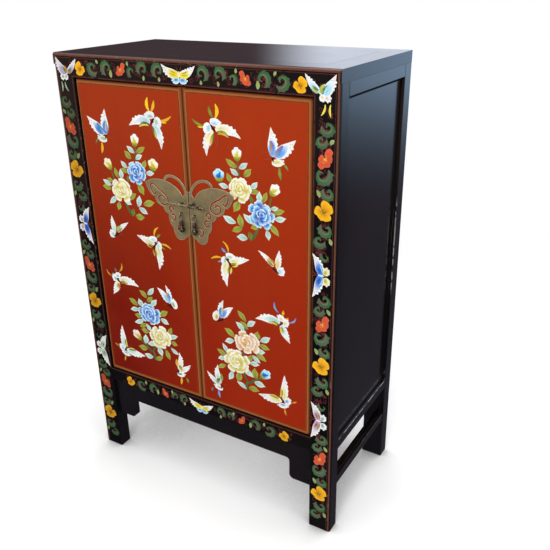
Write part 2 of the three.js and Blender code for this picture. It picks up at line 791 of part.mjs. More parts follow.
function lockPin() {
  const tip = [
    [0, -pinTipReach], [pinRadius / 2, -pinTipReach + pinRadius / 4], [pinRadius, -pinTipReach + pinRadius],
  ];
  const head = pinHeadShares.map((share, i) => [pinHeadRadii[i], pinHeadStart + share * pinHeadLength]);
  return toGeometry(turned([...tip, ...head], 'x', [0, stapleCentreY, stapleLevel]));
}

const cabinet = new THREE.Group();
cabinet.position.set(0, hardwareReach / 2, 0);

function place(name, geometry, finish) {
  const mesh = new THREE.Mesh(geometry, new THREE.MeshStandardMaterial(finish));
  mesh.name = name;
  cabinet.add(mesh);
}

// Adds a piece on the right and its mirror image on the left
function placePair(name, geometry, finish) {
  place(`${name}_right`, geometry, finish);
  place(`${name}_left`, mirrored(geometry), finish);
}

// Carcass
placePair('leg_front', frontLeg(), paintedLacquer);
placePair('leg_rear', rearLeg(), blackLacquer);
place('top_frame_front', topFront(), blackLacquer);
place('top_frame_rear', topRear(), blackLacquer);
placePair('top_frame', topSide(), blackLacquer);
place('top_panel', topPanel(), blackLacquer);
place('top_batten', topBatten(), insideWood);

const topSockets = pivotSockets(openingTop, 1);
const bottomSockets = pivotSockets(openingBottom, -1);
place('front_top_rail', frontRail(openingTop, topRailHeight, rearTopTenon, topSockets), paintedLacquer);
place(
  'front_bottom_rail',
  frontRail(frontBottomRailLevel, frontBottomRailHeight, rearBottomTenon, bottomSockets),
  paintedLacquer,
);
place('rear_top_rail', rearRail(openingTop, topRailHeight, rearTopTenon), blackLacquer);
place(
  'rear_bottom_rail',
  rearRail(frontBottomRailLevel, frontBottomRailHeight, rearBottomTenon),
  blackLacquer,
);

const sideGroove = mortiseFor(sidePanelRange);
placePair(
  'side_top_rail',
  sideRail(openingTop, topRailHeight, sideRailThickness, sideRailMiddleX, sideTopTenon, [sideGroove]),
  blackLacquer,
);
placePair(
  'side_bottom_rail',
  sideRail(
    sideBottomRailLevel,
    sideBottomRailHeight,
    sideRailThickness,
    sideRailMiddleX,
    sideBottomTenon,
    [sideGroove],
  ),
  blackLacquer,
);
placePair(
  'side_stretcher',
  sideRail(stretcherLevel, stretcherHeight, stretcherThickness, stretcherMiddleX, stretcherTenon),
  blackLacquer,
);
placePair('side_panel', block(sidePanelRange), blackLacquer);
placePair('back_panel', block(backPanelRange), blackLacquer);
place('back_muntin', backMuntin(), blackLacquer);
place('front_apron', apron(), blackLacquer);
place('floor_board', floorBoard(), insideWood);
place('shelf', shelfBoard(), insideWood);
placePair('shelf_cleat', shelfCleat(), insideWood);
place('door_stop_top', doorStop(openingTop - stopHeight), insideWood);
place('door_stop_bottom', doorStop(openingBottom), insideWood);

// Doors and their hardware
placePair('door', doorBoard(), redLacquer);
placePair('door_batten_upper', doorBatten(doorTop - doorBattenInset - doorBattenHeight), insideWood);
placePair('door_batten_lower', doorBatten(doorBottom + doorBattenInset), insideWood);
placePair('lock_plate', lockPlate(), agedBrass);
placePair('pin_staple', pinStaple(), agedBrass);
placePair('pull_eye', pullEye(), agedBrass);
placePair('drop_pull', dropPull(), agedBrass);
place('lock_pin', lockPin(), agedBrass);

export default cabinet;
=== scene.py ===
# %% [markdown]
# # A red lacquered cabinet with painted butterflies
#
# This notebook dresses a finished construction model of a two-door cabinet. The wooden pieces, the
# brass lock and all the joints already exist, each as its own object in metres. What is left is what a
# lacquer painter and a metal finisher would do: coats of lacquer, a painted border, flowers and
# butterflies, tarnish on brass, and years of small knocks.
#
# The model is loaded first.

# %% Load the construction model
import math
import random

import bmesh
import bpy
from mathutils import Euler, Matrix, Vector


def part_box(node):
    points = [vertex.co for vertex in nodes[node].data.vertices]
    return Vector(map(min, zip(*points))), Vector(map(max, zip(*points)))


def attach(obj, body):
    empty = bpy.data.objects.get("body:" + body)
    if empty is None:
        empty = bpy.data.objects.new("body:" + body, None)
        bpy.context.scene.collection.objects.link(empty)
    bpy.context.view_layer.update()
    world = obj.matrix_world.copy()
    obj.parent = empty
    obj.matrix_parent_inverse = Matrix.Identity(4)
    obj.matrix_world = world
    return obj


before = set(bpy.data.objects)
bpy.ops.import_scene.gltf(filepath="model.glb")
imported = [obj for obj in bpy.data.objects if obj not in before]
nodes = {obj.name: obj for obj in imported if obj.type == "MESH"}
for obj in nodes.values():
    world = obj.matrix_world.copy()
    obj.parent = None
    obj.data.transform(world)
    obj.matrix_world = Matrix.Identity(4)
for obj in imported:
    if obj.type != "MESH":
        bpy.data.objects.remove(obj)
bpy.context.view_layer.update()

# %% [markdown]
# The photograph was taken from the right and a little above, with the camera close enough for the
# uprights to lean together towards the floor. Its place was worked out from the corners of the legs
# and the top: a direction, a height above the level, a slight tilt, and a focal length.

# %% Camera
PHOTO_SIZE = 550
SENSOR_WIDTH = 36
focal_pixels = 663.2
camera_place = Vector((0.9692, -1.4098, 1.3685))
camera_azimuth = math.radians(30.789)
camera_elevation = math.radians(24.317)
camera_roll = math.radians(0.807)


def camera_matrix(place, azimuth, elevation, roll):
    """The camera's place and turn: azimuth 0 looks along +Y, and roll turns the picture."""
    turn = Euler((math.pi / 2 - elevation, 0, azimuth), "XYZ").to_matrix()
    return Matrix.Translation(place) @ (turn @ Matrix.Rotation(-roll, 3, "Z")).to_4x4()


camera_data = bpy.data.cameras.new("camera")
camera_data.sensor_width = SENSOR_WIDTH
camera_data.lens = focal_pixels * SENSOR_WIDTH / PHOTO_SIZE
camera_data.clip_end = 100
camera = bpy.data.objects.new("camera", camera_data)
camera.matrix_world = camera_matrix(camera_place, camera_azimuth, camera_elevation, camera_roll)
bpy.context.scene.collection.objects.link(camera)
bpy.context.scene.camera = camera
bpy.context.scene.view_settings.view_transform = "Standard"
print(f"a {camera_data.lens:.1f} mm lens")

# %% [markdown]
# Node materials are long to write out, so two small classes keep them readable. `Wiring` adds a node to
# a tree and wires its inputs in one line: an input is a plain value, the output of another node, or
# another node. `Finish` starts a material. Everything on it is drawn on Object coordinates, which for
# these pieces are metres from the cabinet's own centre line, so a line on the door border can be
# placed as a cabinet maker would measure it.

# %% Helpers for node materials
MM = 0.001
TURN = 2 * math.pi


def rgb(red, green, blue):
    """A colour as a paint chart gives it, 0 to 255, turned to linear light."""
    def linear(value):
        share = value / 255
        return share / 12.92 if share <= 0.04045 else ((share + 0.055) / 1.055) ** 2.4
    return (linear(red), linear(green), linear(blue), 1)


def grey(level):
    return (level, level, level, 1)


class Wiring:
    """A tree of shader nodes, built one wired node at a time."""

    def __init__(self, tree):
        self.tree = tree

    def add(self, kind, settings=None, **inputs):
        """settings are the node's menus."""
        node = self.tree.nodes.new("ShaderNode" + kind)
        for key, value in (settings or {}).items():
            setattr(node, key, value)
        self.wire(node, **inputs)
        return node

    def wire(self, node, **inputs):
        """Inputs go by name, or by place as i0, i1 ... A node stands for its first output."""
        for key, value in inputs.items():
            by_place = key[0] == "i" and key[1:].isdigit()
            socket = node.inputs[int(key[1:]) if by_place else key.replace("_", " ")]
            if isinstance(value, bpy.types.Node):
                value = value.outputs[0]
            if isinstance(value, bpy.types.NodeSocket):
                self.tree.links.new(value, socket)
            else:
                socket.default_value = value

    def math(self, operation, first, second=0.0, third=0.0):
        return self.add("Math", {"operation": operation}, i0=first, i1=second, i2=third).outputs[0]

    def times(self, first, *others):
        for other in others:
            first = self.math("MULTIPLY", first, other)
        return first

    def less(self, first, second):
        return self.math("SUBTRACT", first, second)

    def most(self, first, second):
        return self.math("MAXIMUM", first, second)

    def least(self, first, second, soft=0.0):
        """The smaller of two, rounded over soft where they meet."""
        return self.math("SMOOTH_MIN" if soft else "MINIMUM", first, second, soft)

    def step(self, value, low, high):
        """0 at low and 1 at high, smooth between; low may be the larger."""
        if low < high:
            smooth = {"interpolation_type": "SMOOTHSTEP"}
            return self.add("MapRange", smooth, i0=value, i1=low, i2=high).outputs[0]
        return self.less(1.0, self.step(value, high, low))

    def between(self, value, low, high, soft):
        """1 from low to high, fading over soft at each side."""
        return self.times(self.step(value, low - soft, low), self.step(value, high + soft, high))

    def mix(self, amount, first, second, strength=1):
        """A colour that goes from first to second, as far as strength."""
        if strength != 1:
            amount = self.times(amount, strength)
        return self.add("Mix", {"data_type": "RGBA"}, i0=amount, i6=first, i7=second).outputs[2]

    def rays(self):
        """1 for a ray that left polished metal, lacquer or glass, and 1 for a ray from the camera."""
        path = self.add("LightPath").outputs
        return self.most(path["Is Glossy Ray"], path["Is Transmission Ray"]), path["Is Camera Ray"]


class Finish(Wiring):
    """A material. away is the distance from the plane through the cabinet's centre line."""

    def __init__(self, name):
        self.material = bpy.data.materials.new(name)
        self.material.use_nodes = True
        super().__init__(self.material.node_tree)
        self.shader = self.tree.nodes["Principled BSDF"]
        self.place = self.add("TexCoord").outputs["Object"]
        self.x, self.y, self.z = self.add("SeparateXYZ", Vector=self.place).outputs
        self.away = self.math("ABSOLUTE", self.x)

    def done(self, **inputs):
        self.wire(self.shader, **inputs)

    def stretched(self, x, y, z):
        """Object coordinates drawn out, for grain or brush marks."""
        return self.add("Mapping", Vector=self.place, Scale=(x, y, z)).outputs[0]

    def noise(self, scale, detail=4.0, roughness=0.6, place=None, distortion=0.0):
        return self.add("TexNoise", Vector=place or self.place, Scale=scale, Detail=detail,
                        Roughness=roughness, Distortion=distortion).outputs["Fac"]

    def patches(self, scale, detail, roughness, low, high):
        """1 where a noise is high and 0 where it is low."""
        return self.step(self.noise(scale, detail, roughness), low, high)

    def waver(self, scale, reach):
        """Moves a line to and fro as a hand does."""
        return self.times(self.less(self.noise(scale, 2), 0.5), reach)

    def blend(self, amount, first, second):
        """A number that goes from first to second."""
        return self.add("Mix", {"data_type": "FLOAT"}, i0=amount, i2=first, i3=second).outputs[0]

    def bump(self, height, distance, strength=1.0, **below):
        return self.add("Bump", Height=height, Distance=distance, Strength=strength, **below).outputs[0]

    def polished(self, wave_scale, grain_scale):
        """The surface of polished lacquer: long shallow waves and a fine grain."""
        wave = self.bump(self.noise(wave_scale, 2, 0.5), 0.5 * MM, 0.25)
        return self.bump(self.noise(grain_scale, 3, 0.7), 0.05 * MM, 0.35, Normal=wave)

    def edges(self, radius):
        """1 on sharp edges and 0 on flats: where a rounded normal turns away from the true one."""
        rounded = self.add("Bevel", {"samples": 4}, Radius=radius)
        true_normal = self.add("NewGeometry").outputs["Normal"]
        agree = self.add("VectorMath", {"operation": "DOT_PRODUCT"}, i0=rounded, i1=true_normal)
        return self.step(agree.outputs["Value"], 0.995, 0.80)


print("helpers ready")

# %% [markdown]
# The studio is a pale floor that runs out to a white surround, with soft light from above and from the
# left of the camera. The floor is white to the camera, and it keeps the cabinet's soft shadow, made deeper
# near the cabinet by a painted shadow. In a reflection the floor shows a painted glow for a show room
# floor: dark by the cabinet and bright far away, warm in front of the cabinet and cool behind it, where
# window light would fall on it.

# %% Floor
FLOOR_HALF = 60
SHADOW_REACH = 0.32
FLOOR_LIFT = 0.24
# Distances from the cabinet, in metres, over which the floor turns white, or its painted glow in a reflection
# turns bright.
FLOOR_WHITE = (1.1, 2.4)
WARM_FLOOR = (1.2, 7.0)
COOL_FLOOR = (2.4, 9.6)

bm = bmesh.new()
bmesh.ops.create_grid(bm, x_segments=1, y_segments=1, size=FLOOR_HALF)
floor_mesh = bpy.data.meshes.new("floor")
bm.to_mesh(floor_mesh)
bm.free()
floor = bpy.data.objects.new("floor", floor_mesh)
bpy.context.scene.collection.objects.link(floor)

paving = Finish("floor")
paving.done(Base_Color=grey(0.8), Roughness=0.9, Specular_IOR_Level=0.0)
# The floor's colour is darkened by ambient occlusion near and under the cabinet: a painted shadow, deeper
# than the lamps' own.
openness = paving.add("AmbientOcclusion", {"samples": 8}, Distance=SHADOW_REACH).outputs["AO"]
colour_with_painted_shadow = paving.mix(paving.step(openness, 0.30, 0.90), grey(0.06), grey(0.98))
lift = paving.add("Emission", Color=grey(FLOOR_LIFT), Strength=1.0)
lifted = paving.add("AddShader", i0=paving.add("BsdfDiffuse", Color=colour_with_painted_shadow), i1=lift)
distance = paving.add("VectorMath", {"operation": "LENGTH"}, i0=paving.place).outputs["Value"]
white = paving.add("Emission", Color=grey(1), Strength=1.0)
seen_floor = paving.add("MixShader", i0=paving.step(distance, *FLOOR_WHITE), i1=lifted, i2=white)
# In reflections the floor is a painted glow: dark by the cabinet, standing in for its shade, bright far away,
# warm in front and cool behind.
warm = paving.mix(paving.step(distance, *WARM_FLOOR), (0.05, 0.042, 0.042, 1), (0.62, 0.42, 0.32, 1))
cool = paving.mix(paving.step(distance, *COOL_FLOOR), (0.055, 0.048, 0.062, 1), (0.50, 0.72, 1.0, 1))
painted_reflection_glow = paving.add("Emission", Color=paving.mix(paving.step(paving.y, 0.0, -1.5), cool, warm))
reflected, from_camera = paving.rays()
for_rays = paving.add("MixShader", i0=reflected, i1=paving.shader, i2=painted_reflection_glow)
shown_floor = paving.add("MixShader", i0=from_camera, i1=for_rays, i2=seen_floor)
paving.wire(paving.tree.nodes["Material Output"], Surface=shown_floor)
floor_mesh.materials.append(paving.material)
print("floor laid")

# %% [markdown]
# Polished lacquer is judged by what it reflects. In a plain white tent black lacquer turns grey, so
# for reflections the surround is a room: a large bright window behind and to the right, a pale ceiling,
# and quieter walls. The camera sees it as plain white.

# %% Surround and lights
SURROUND_LIGHT = 0.55
WINDOW_WAY = Vector((0.10, 0.99, 0.12)).normalized()
WINDOW_EDGE = (math.cos(math.radians(38)), math.cos(math.radians(31)))
CEILING_EDGE = (0.35, 0.8)
WALLS = (0.06, 0.041, 0.045, 1)
PALE_CEILING = (0.7, 0.7, 0.72, 1)
BRIGHT_WINDOW = (0.82, 0.87, 1.0, 1)

world = bpy.data.worlds.new("surround")
world.use_nodes = True
bpy.context.scene.world = world
surround = Wiring(world.node_tree)
way = surround.add("TexCoord").outputs["Generated"]
height = surround.add("SeparateXYZ", Vector=way).outputs["Z"]
room = surround.mix(surround.step(height, *CEILING_EDGE), WALLS, PALE_CEILING)
to_window = surround.add("VectorMath", {"operation": "DOT_PRODUCT"}, i0=way, i1=WINDOW_WAY)
room = surround.mix(surround.step(to_window.outputs["Value"], *WINDOW_EDGE), room, BRIGHT_WINDOW)
reflected, from_camera = surround.rays()
shown = surround.mix(reflected, grey(SURROUND_LIGHT), room)
surround.wire(world.node_tree.nodes["Background"], Color=surround.mix(from_camera, shown, grey(1)))


def soft_light(name, place, target, size, power):
    """A square softbox at a place, turned to a target."""
    data = bpy.data.lights.new(name, "AREA")
    data.size = size
    data.energy = power
    light = bpy.data.objects.new(name, data)
    aim = (Vector(target) - Vector(place)).to_track_quat("-Z", "Y")
    light.matrix_world = Matrix.Translation(place) @ aim.to_matrix().to_4x4()
    bpy.context.scene.collection.objects.link(light)


soft_light("key", (0.9, -3.6, 2.9), (0, 0, 0.6), 1.6, 85)
soft_light("overhead", (0.2, 0.2, 3.4), (0, 0, 0.5), 1.8, 40)
print("studio ready")

# %% [markdown]
# The carcass is black lacquer. It could be one dark colour with a shine, but old lacquer is never so
# even: it is a little brown where it is thin, its gloss is broken by dust and rubbing, and its edges
# are rubbed through to the red-brown ground, with a few bare chips. The wear is found by the shader
# itself, from a rounded normal that leaves the true one near an edge.

# %% Black lacquer
CLEAR_COAT_ROUGHNESS = 0.14
# The heights between which the rear leg is rubbed bare, and the width of the dull line of painted shade, in
# metres.
LEG_RUBBED = (0.60, 0.80)
SHADED_DULL_LINE = (9 * MM, 7 * MM)


def black_coat(finish):
    """The colour, roughness and bump of worn black lacquer, for the carcass and the painted frame."""
    colour = finish.mix(finish.patches(3.2, 3, 0.55, 0.35, 0.7), rgb(11, 10, 12), rgb(22, 17, 18))
    colour = finish.mix(finish.patches(900, 2, 0.6, 0.66, 0.8), colour, rgb(120, 112, 105), 0.35)
    rubbed = finish.times(finish.edges(1.6 * MM), finish.patches(11, 5, 0.75, 0.50, 0.64))
    colour = finish.mix(rubbed, colour, rgb(74, 46, 38), 0.6)
    knocks = finish.patches(4, 3, 0.6, 0.50, 0.62)
    knocked = finish.math("ADD", finish.noise(110, 3, 0.75), finish.times(knocks, 0.12))
    chipped = finish.times(finish.edges(1.2 * MM), finish.step(knocked, 0.66, 0.70))
    colour = finish.mix(chipped, colour, rgb(196, 186, 176))
    rough = finish.blend(finish.noise(7, 5, 0.65), 0.10, 0.30)
    return colour, finish.blend(rubbed, rough, 0.55), finish.polished(9, 160)


black = Finish("black_lacquer_worn")
colour, rough, normal = black_coat(black)
# Along the side rail below the panel, and on the rear leg beside it, the arris is rubbed bare in dashes.
rail_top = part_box("side_bottom_rail_right")[1].z
rear_leg_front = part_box("leg_rear_right")[0].y
rail_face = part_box("side_bottom_rail_right")[1].x
panel_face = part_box("side_panel_right")[1].x
on_rail = black.times(black.between(black.z, rail_top - 3 * MM, rail_top + 1 * MM, 0.5 * MM),
                      black.step(black.away, rail_face - 2.5 * MM, rail_face - 1.5 * MM))
on_leg = black.times(black.between(black.y, rear_leg_front - 1 * MM, rear_leg_front + 2 * MM, 0.5 * MM),
                     black.between(black.z, *LEG_RUBBED, 0.05))
dashes = black.patches(46, 4, 0.75, 0.44, 0.54)
outside = black.step(black.away, panel_face - 4 * MM, panel_face - 1 * MM)
near_edge = black.step(black.edges(2.5 * MM), 0.02, 0.2)
bare = black.times(black.most(on_rail, on_leg), dashes, outside, near_edge)
colour = black.mix(bare, colour, rgb(214, 212, 214))
# Dust and old polish make a dull line where the side panel goes into its frame, and its darkness is painted
# shade.
panel_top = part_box("side_top_rail_right")[0].z
front_leg_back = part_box("leg_front_right")[1].y
nearest = black.less(panel_top, black.z)
for first, second in ((black.z, rail_top), (black.y, front_leg_back), (rear_leg_front, black.y)):
    nearest = black.least(nearest, black.less(first, second))
on_panel = black.between(black.away, panel_face - 1 * MM, panel_face + 1 * MM, 0.5 * MM)
shaded_crease = black.times(on_panel, black.step(nearest, *SHADED_DULL_LINE))
# The crease's colour is near black: a painted shade in the recess.
black.done(Base_Color=black.mix(shaded_crease, colour, rgb(3, 3, 4)), Roughness=black.blend(shaded_crease, rough, 0.8),
           Normal=normal, Specular_IOR_Level=0.4, Coat_Weight=black.blend(shaded_crease, 1.0, 0.0),
           Coat_Roughness=CLEAR_COAT_ROUGHNESS, Coat_Normal=normal)
print("black lacquer mixed")

# %% [markdown]
# The front frame has the same black ground, with a copper-brown bead down its outer corners and along
# the top edge, and maroon lines that follow the door opening and the bead. The lines could be thin
# pieces of their own, but on the real frame they are flat brush lines, so they are drawn in the
# material, by their distance from the opening: the larger of the distances sideways and upwards.

# %% Painted frame: bead and brush lines
OPENING_HALF = 338 * MM
OPENING_MIDDLE = 718 * MM
OPENING_HALF_HEIGHT = 424 * MM
FRONT_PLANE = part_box("leg_front_left")[0].y
bead_width = 8 * MM
bead_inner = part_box("leg_front_right")[1].x - bead_width
bead_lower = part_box("top_frame_front")[1].z - bead_width
line_soft = 0.25 * MM

front = Finish("painted_frame_ground")
colour, rough, normal = black_coat(front)
front_face = front.step(front.y, FRONT_PLANE + 1.2 * MM, FRONT_PLANE + 0.6 * MM)
upright = front.math("ABSOLUTE", front.less(front.z, OPENING_MIDDLE))
from_opening = front.most(front.less(front.away, OPENING_HALF), front.less(upright, OPENING_HALF_HEIGHT))
from_bead = front.most(front.less(front.away, bead_inner), front.less(front.z, bead_lower))
waver = front.waver(14, 1.2 * MM)
brush_lines = (
    (from_opening, 1.8, 3.6, rgb(84, 44, 40)),
    (from_opening, 4.6, 5.4, rgb(62, 30, 34)),
    (from_bead, -3.6, -2.2, rgb(76, 40, 38)),
)
for distance, low, high, line_colour in brush_lines:
    line = front.between(front.math("ADD", distance, waver), low * MM, high * MM, line_soft)
    broken = front.patches(60, 3, 0.7, 0.30, 0.45)
    colour = front.mix(front.times(line, broken, front_face), colour, line_colour)
on_bead = front.times(front.step(from_bead, 0.0, 0.4 * MM),
                      front.step(front.y, FRONT_PLANE + 3.4 * MM, FRONT_PLANE + 2.6 * MM),
                      front.step(front.away, bead_inner + 5.4 * MM, bead_inner + 4.4 * MM))
bead_tone = front.mix(front.noise(24, 4, 0.7), rgb(74, 44, 34), rgb(118, 74, 58))
bead_tone = front.mix(front.patches(130, 3, 0.75, 0.66, 0.72), bead_tone, rgb(176, 158, 138))
# The painted front was rubbed down to a satin before it was painted. Its other sides keep their clear coat.
front.done(Base_Color=front.mix(on_bead, colour, bead_tone), Roughness=rough, Normal=normal,
           Specular_IOR_Level=0.18, Coat_Weight=front.less(1.0, front_face),
           Coat_Roughness=CLEAR_COAT_ROUGHNESS, Coat_Normal=normal)
print("painted frame lined")

# %% [markdown]
# The doors are the show piece: an orange-red lacquer with a gold-brown border. The red is deeper at the
# left and warmer at the right, and lighter upwards, partly the lacquer's own colour and partly painted
# shade and light. The border is set off by a fine groove in the wood, and its colour follows the
# distance from the nearest edge. A smooth minimum is used there, which rounds the inner corners of the
# border the way a brush does.

# %% Red lacquer with its gold-brown border
door_low, door_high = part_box("door_right")
DOOR_BOTTOM = 296 * MM
DOOR_TOP = 1140 * MM
DOOR_FRONT = door_low.y
border_width = 9 * MM

# Where the red turns from deep at the left to warm at the right, and where it turns lighter upwards, in
# metres: partly the lacquer's own colour and partly painted shade and light.
TONE_AND_SHADE_ACROSS = (-0.36, 0.20)
TONE_AND_LIGHT_UPWARDS = (0.45, 1.15)
# How far from the cabinet's centre line the doors' meeting edges end, and the rounding of the border.
SEAM = (12 * MM, 8 * MM)
CORNER_ROUNDING = 9 * MM

red = Finish("red_lacquer_bordered")
from_side = red.least(red.less(red.away, door_low.x), red.less(door_high.x, red.away), 1 * MM)
from_end = red.least(red.less(red.z, DOOR_BOTTOM), red.less(DOOR_TOP, red.z), 1 * MM)
from_edge = red.math("ADD", red.least(from_side, from_end, CORNER_ROUNDING), red.waver(18, 1.4 * MM))
at_seam = red.step(red.away, *SEAM)
cloud = red.patches(4.5, 4, 0.6, 0.3, 0.72)

# The field is deeper at the left and lighter at the top, partly its own colour and partly painted shade and
# light.
field = red.mix(red.step(red.x, *TONE_AND_SHADE_ACROSS), rgb(110, 10, 0), rgb(156, 36, 0))
field = red.mix(red.step(red.z, *TONE_AND_LIGHT_UPWARDS), field, rgb(172, 54, 6), 0.8)
field = red.mix(cloud, field, rgb(148, 46, 16), 0.35)
field = red.mix(red.noise(30, 4, 0.6, red.stretched(1.0, 1.0, 0.12)), field, rgb(112, 22, 4), 0.2)
stained = red.step(from_edge, border_width + 5 * MM, border_width + 3 * MM)
field = red.mix(stained, field, rgb(132, 62, 24), 0.55)

border = red.mix(red.noise(20, 4, 0.7), rgb(112, 60, 24), rgb(142, 84, 38))
border = red.mix(red.between(from_edge, 5.4 * MM, 8.6 * MM, 0.5 * MM), border, rgb(158, 94, 48))
edging = red.mix(at_seam, rgb(78, 34, 16), rgb(126, 64, 32))
border = red.mix(red.step(from_edge, 3.6 * MM, 1.4 * MM), border, edging)

colour = red.mix(red.step(from_edge, border_width, border_width + 0.8 * MM), border, field)
colour = red.mix(red.patches(700, 2, 0.6, 0.70, 0.80), colour, rgb(190, 140, 110), 0.30)
worn_edge = red.times(red.edges(1.8 * MM), red.patches(45, 4, 0.7, 0.45, 0.6), red.blend(at_seam, 1.0, 0.25))
colour = red.mix(worn_edge, colour, rgb(66, 32, 20), 0.7)
inside = red.step(red.y, DOOR_FRONT + 6 * MM, DOOR_FRONT + 9 * MM)
back_colour = red.mix(cloud, rgb(52, 17, 11), rgb(70, 24, 14))
colour = red.mix(inside, colour, red.mix(at_seam, back_colour, rgb(92, 36, 20)))
red.done(Base_Color=colour, Roughness=red.blend(red.noise(8, 5, 0.65), 0.14, 0.34),
         Normal=red.polished(7, 240), Specular_IOR_Level=0.22)
print(f"door border {border_width / MM:.0f} mm wide")

# %% [markdown]
# Inside, the boards are plain softwood under a thin brown stain: long grain drawn out along each
# board, with darker rings where the noise folds.

# %% Stained inside wood
wood = Finish("inside_wood_stained")
rings = wood.noise(7, 5, 0.65, wood.stretched(1.2, 9.0, 9.0), 0.6)
fibre = wood.noise(60, 3, 0.7, wood.stretched(0.8, 10.0, 10.0))
colour = wood.mix(wood.step(rings, 0.3, 0.7), rgb(66, 42, 28), rgb(112, 76, 50))
wood.done(Base_Color=wood.mix(fibre, colour, rgb(48, 30, 20), 0.45), Roughness=wood.blend(fibre, 0.5, 0.75),
          Normal=wood.bump(fibre, 0.15 * MM, 0.5), Specular_IOR_Level=0.3)
print("inside wood stained")

# %% [markdown]
# The lock, the pin and the pulls are brass that has gone dull: a grey-olive tarnish with browner
# clouds, bright again on the rims that fingers and edges wear, which also serve as a painted highlight
# along them, while the walls of the cut work are darkened as painted shade. The plates were engraved
# with fine crossing lines before they darkened. The lines could be cut into the model, but they are only
# a tenth of a millimetre deep, so they are drawn as bump, from two sets of parallel waves that cross at
# an angle.

# %% Aged brass
ENGRAVED_PITCH = 3.4 * MM
ENGRAVED_SLOPES = (0.55, -1.6)

brass = Finish("aged_brass_tarnished")
cloud = brass.patches(26, 5, 0.65, 0.32, 0.7)
pitting = brass.patches(420, 3, 0.7, 0.55, 0.75)
colour = brass.mix(cloud, rgb(142, 130, 94), rgb(172, 156, 116))
colour = brass.mix(pitting, colour, rgb(96, 82, 54), 0.5)
engraved = 0.0
for slope in ENGRAVED_SLOPES:
    tilted = brass.math("ADD", brass.z, brass.times(brass.away, slope))
    phase = brass.times(tilted, TURN / (ENGRAVED_PITCH * math.hypot(1, slope)))
    engraved = brass.most(engraved, brass.step(brass.math("SINE", phase), 0.80, 0.97))
engraved = brass.times(engraved, brass.patches(18, 3, 0.6, 0.40, 0.60))
colour = brass.mix(engraved, colour, rgb(96, 84, 52), 0.35)
# The pulls and the far end of the pin are nearly black, with a polish.
plate_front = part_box("lock_plate_left")[0].y
pin_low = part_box("lock_pin")[0].z
far_end = brass.most(brass.step(brass.x, 4 * MM, 16 * MM), brass.step(brass.z, pin_low, pin_low - 4 * MM))
dark = brass.times(brass.step(brass.y, plate_front - 0.5 * MM, plate_front - 2 * MM), far_end)
colour = brass.mix(dark, colour, rgb(54, 44, 32))
# The object's own normal is used, so that the plates look the same when the doors are open.
facing = brass.add("SeparateXYZ", Vector=brass.add("TexCoord").outputs["Normal"]).outputs["Y"]
# The walls of the cut work are darkened as painted shade.
shaded_wall = brass.step(brass.math("ABSOLUTE", facing), 0.55, 0.25)
colour = brass.mix(shaded_wall, colour, rgb(46, 34, 22), 0.8)
# The rims are rubbed bright: partly wear, partly a painted highlight along the edges.
rim_rub_and_highlight = brass.edges(2.2 * MM)
rubbed = brass.times(brass.step(rim_rub_and_highlight, 0.0, 0.25), brass.step(shaded_wall, 0.6, 0.2))
colour = brass.mix(rubbed, colour, rgb(232, 206, 172), 0.9)
rough = brass.blend(rim_rub_and_highlight, brass.blend(cloud, 0.56, 0.42), 0.30)
dents = brass.bump(brass.noise(55, 3, 0.6), 0.35 * MM, 0.35)
grooves = brass.bump(brass.less(1.0, engraved), 0.12 * MM, 0.4, Normal=dents)
brass.done(Base_Color=colour, Metallic=0.5, Roughness=brass.blend(dark, rough, 0.20),
           Normal=brass.bump(pitting, 0.08 * MM, 0.4, Normal=grooves))
print("brass tarnished")

# %% [markdown]
# The pieces come with plain stand-in materials, each named after the finish that it waits for. The
# three top mouldings take the painted frame's finish, because the copper-brown bead runs along them.

# %% Coat every piece
coats = {"painted_frame": front, "black_lacquer": black, "red_lacquer": red, "inside_wood": wood,
         "aged_brass": brass}
beaded_tops = {"top_frame_front", "top_frame_left", "top_frame_right"}
for name, node in nodes.items():
    for slot in node.material_slots:
        kind = slot.material.name.split(".")[0]
        slot.material = (front if name in beaded_tops else coats[kind]).material
print(f"{len(nodes)} pieces coated")

# %% [markdown]
# The decoration is painted in thick, raised colour. It could be an image, but an image has one
# resolution and no thickness. Here every touch of the brush is a small closed solid, as on the real
# panels: a ball from `create_uvsphere`, stretched along a path, with its own widths, domed on top, flat
# below, and a colour at every point. Later touches lie on a higher coat than the ones they cross.
#
# `Painting` collects the touches of one panel. The drawing is in millimetres, sideways from the
# cabinet's centre line and upwards from the floor, and a panel can be the mirror image of its
# neighbour, which is how the pair of doors was set out.

# %% A brush that leaves raised paint
# The rise of one coat and of a touch's dome, and how deep its floor goes in, in millimetres.
COAT = 0.11
DOME = 0.14
SUNK = 0.06
SHARP_FROM = math.radians(60)
# Where the points around a touch lie: sideways share, coat edge or floor, and share of the dome. A
# hairline has four points around it, which keeps each painting under 200,000 triangles.
SECTION = ((1, True, 0), (0.72, True, 0.75), (0, True, 1), (-0.72, True, 0.75),
           (-1, True, 0), (-1, False, 0), (0, False, 0), (1, False, 0))
HAIRLINE = 2.7
HAIR_SECTION = ((1, True, 0), (0, True, 1), (-1, True, 0), (0, False, 0))
# Width of a touch along its path, as shares of the widest place.
TOUCHES = {
    "leaf": (0.26, 0.74, 1.0, 0.84, 0.30),
    "petal": (0.44, 0.74, 0.94, 1.0, 0.92, 0.66),
    "wing": (0.46, 0.84, 1.0, 0.93, 0.72, 0.46, 0.20),
    "broad wing": (0.78, 0.96, 1.0, 0.90, 0.68, 0.42, 0.18),
    "lobe": (0.55, 0.92, 1.0, 0.90, 0.58),
    "tail": (0.40, 0.75, 1.0, 0.80, 0.34),
    "line": (0.60, 1.0, 1.0, 0.85, 0.40),
    "stem": (0.50, 0.62, 0.75, 0.88, 1.0),
}


def left_of(way):
    return Vector((-way.y, way.x))


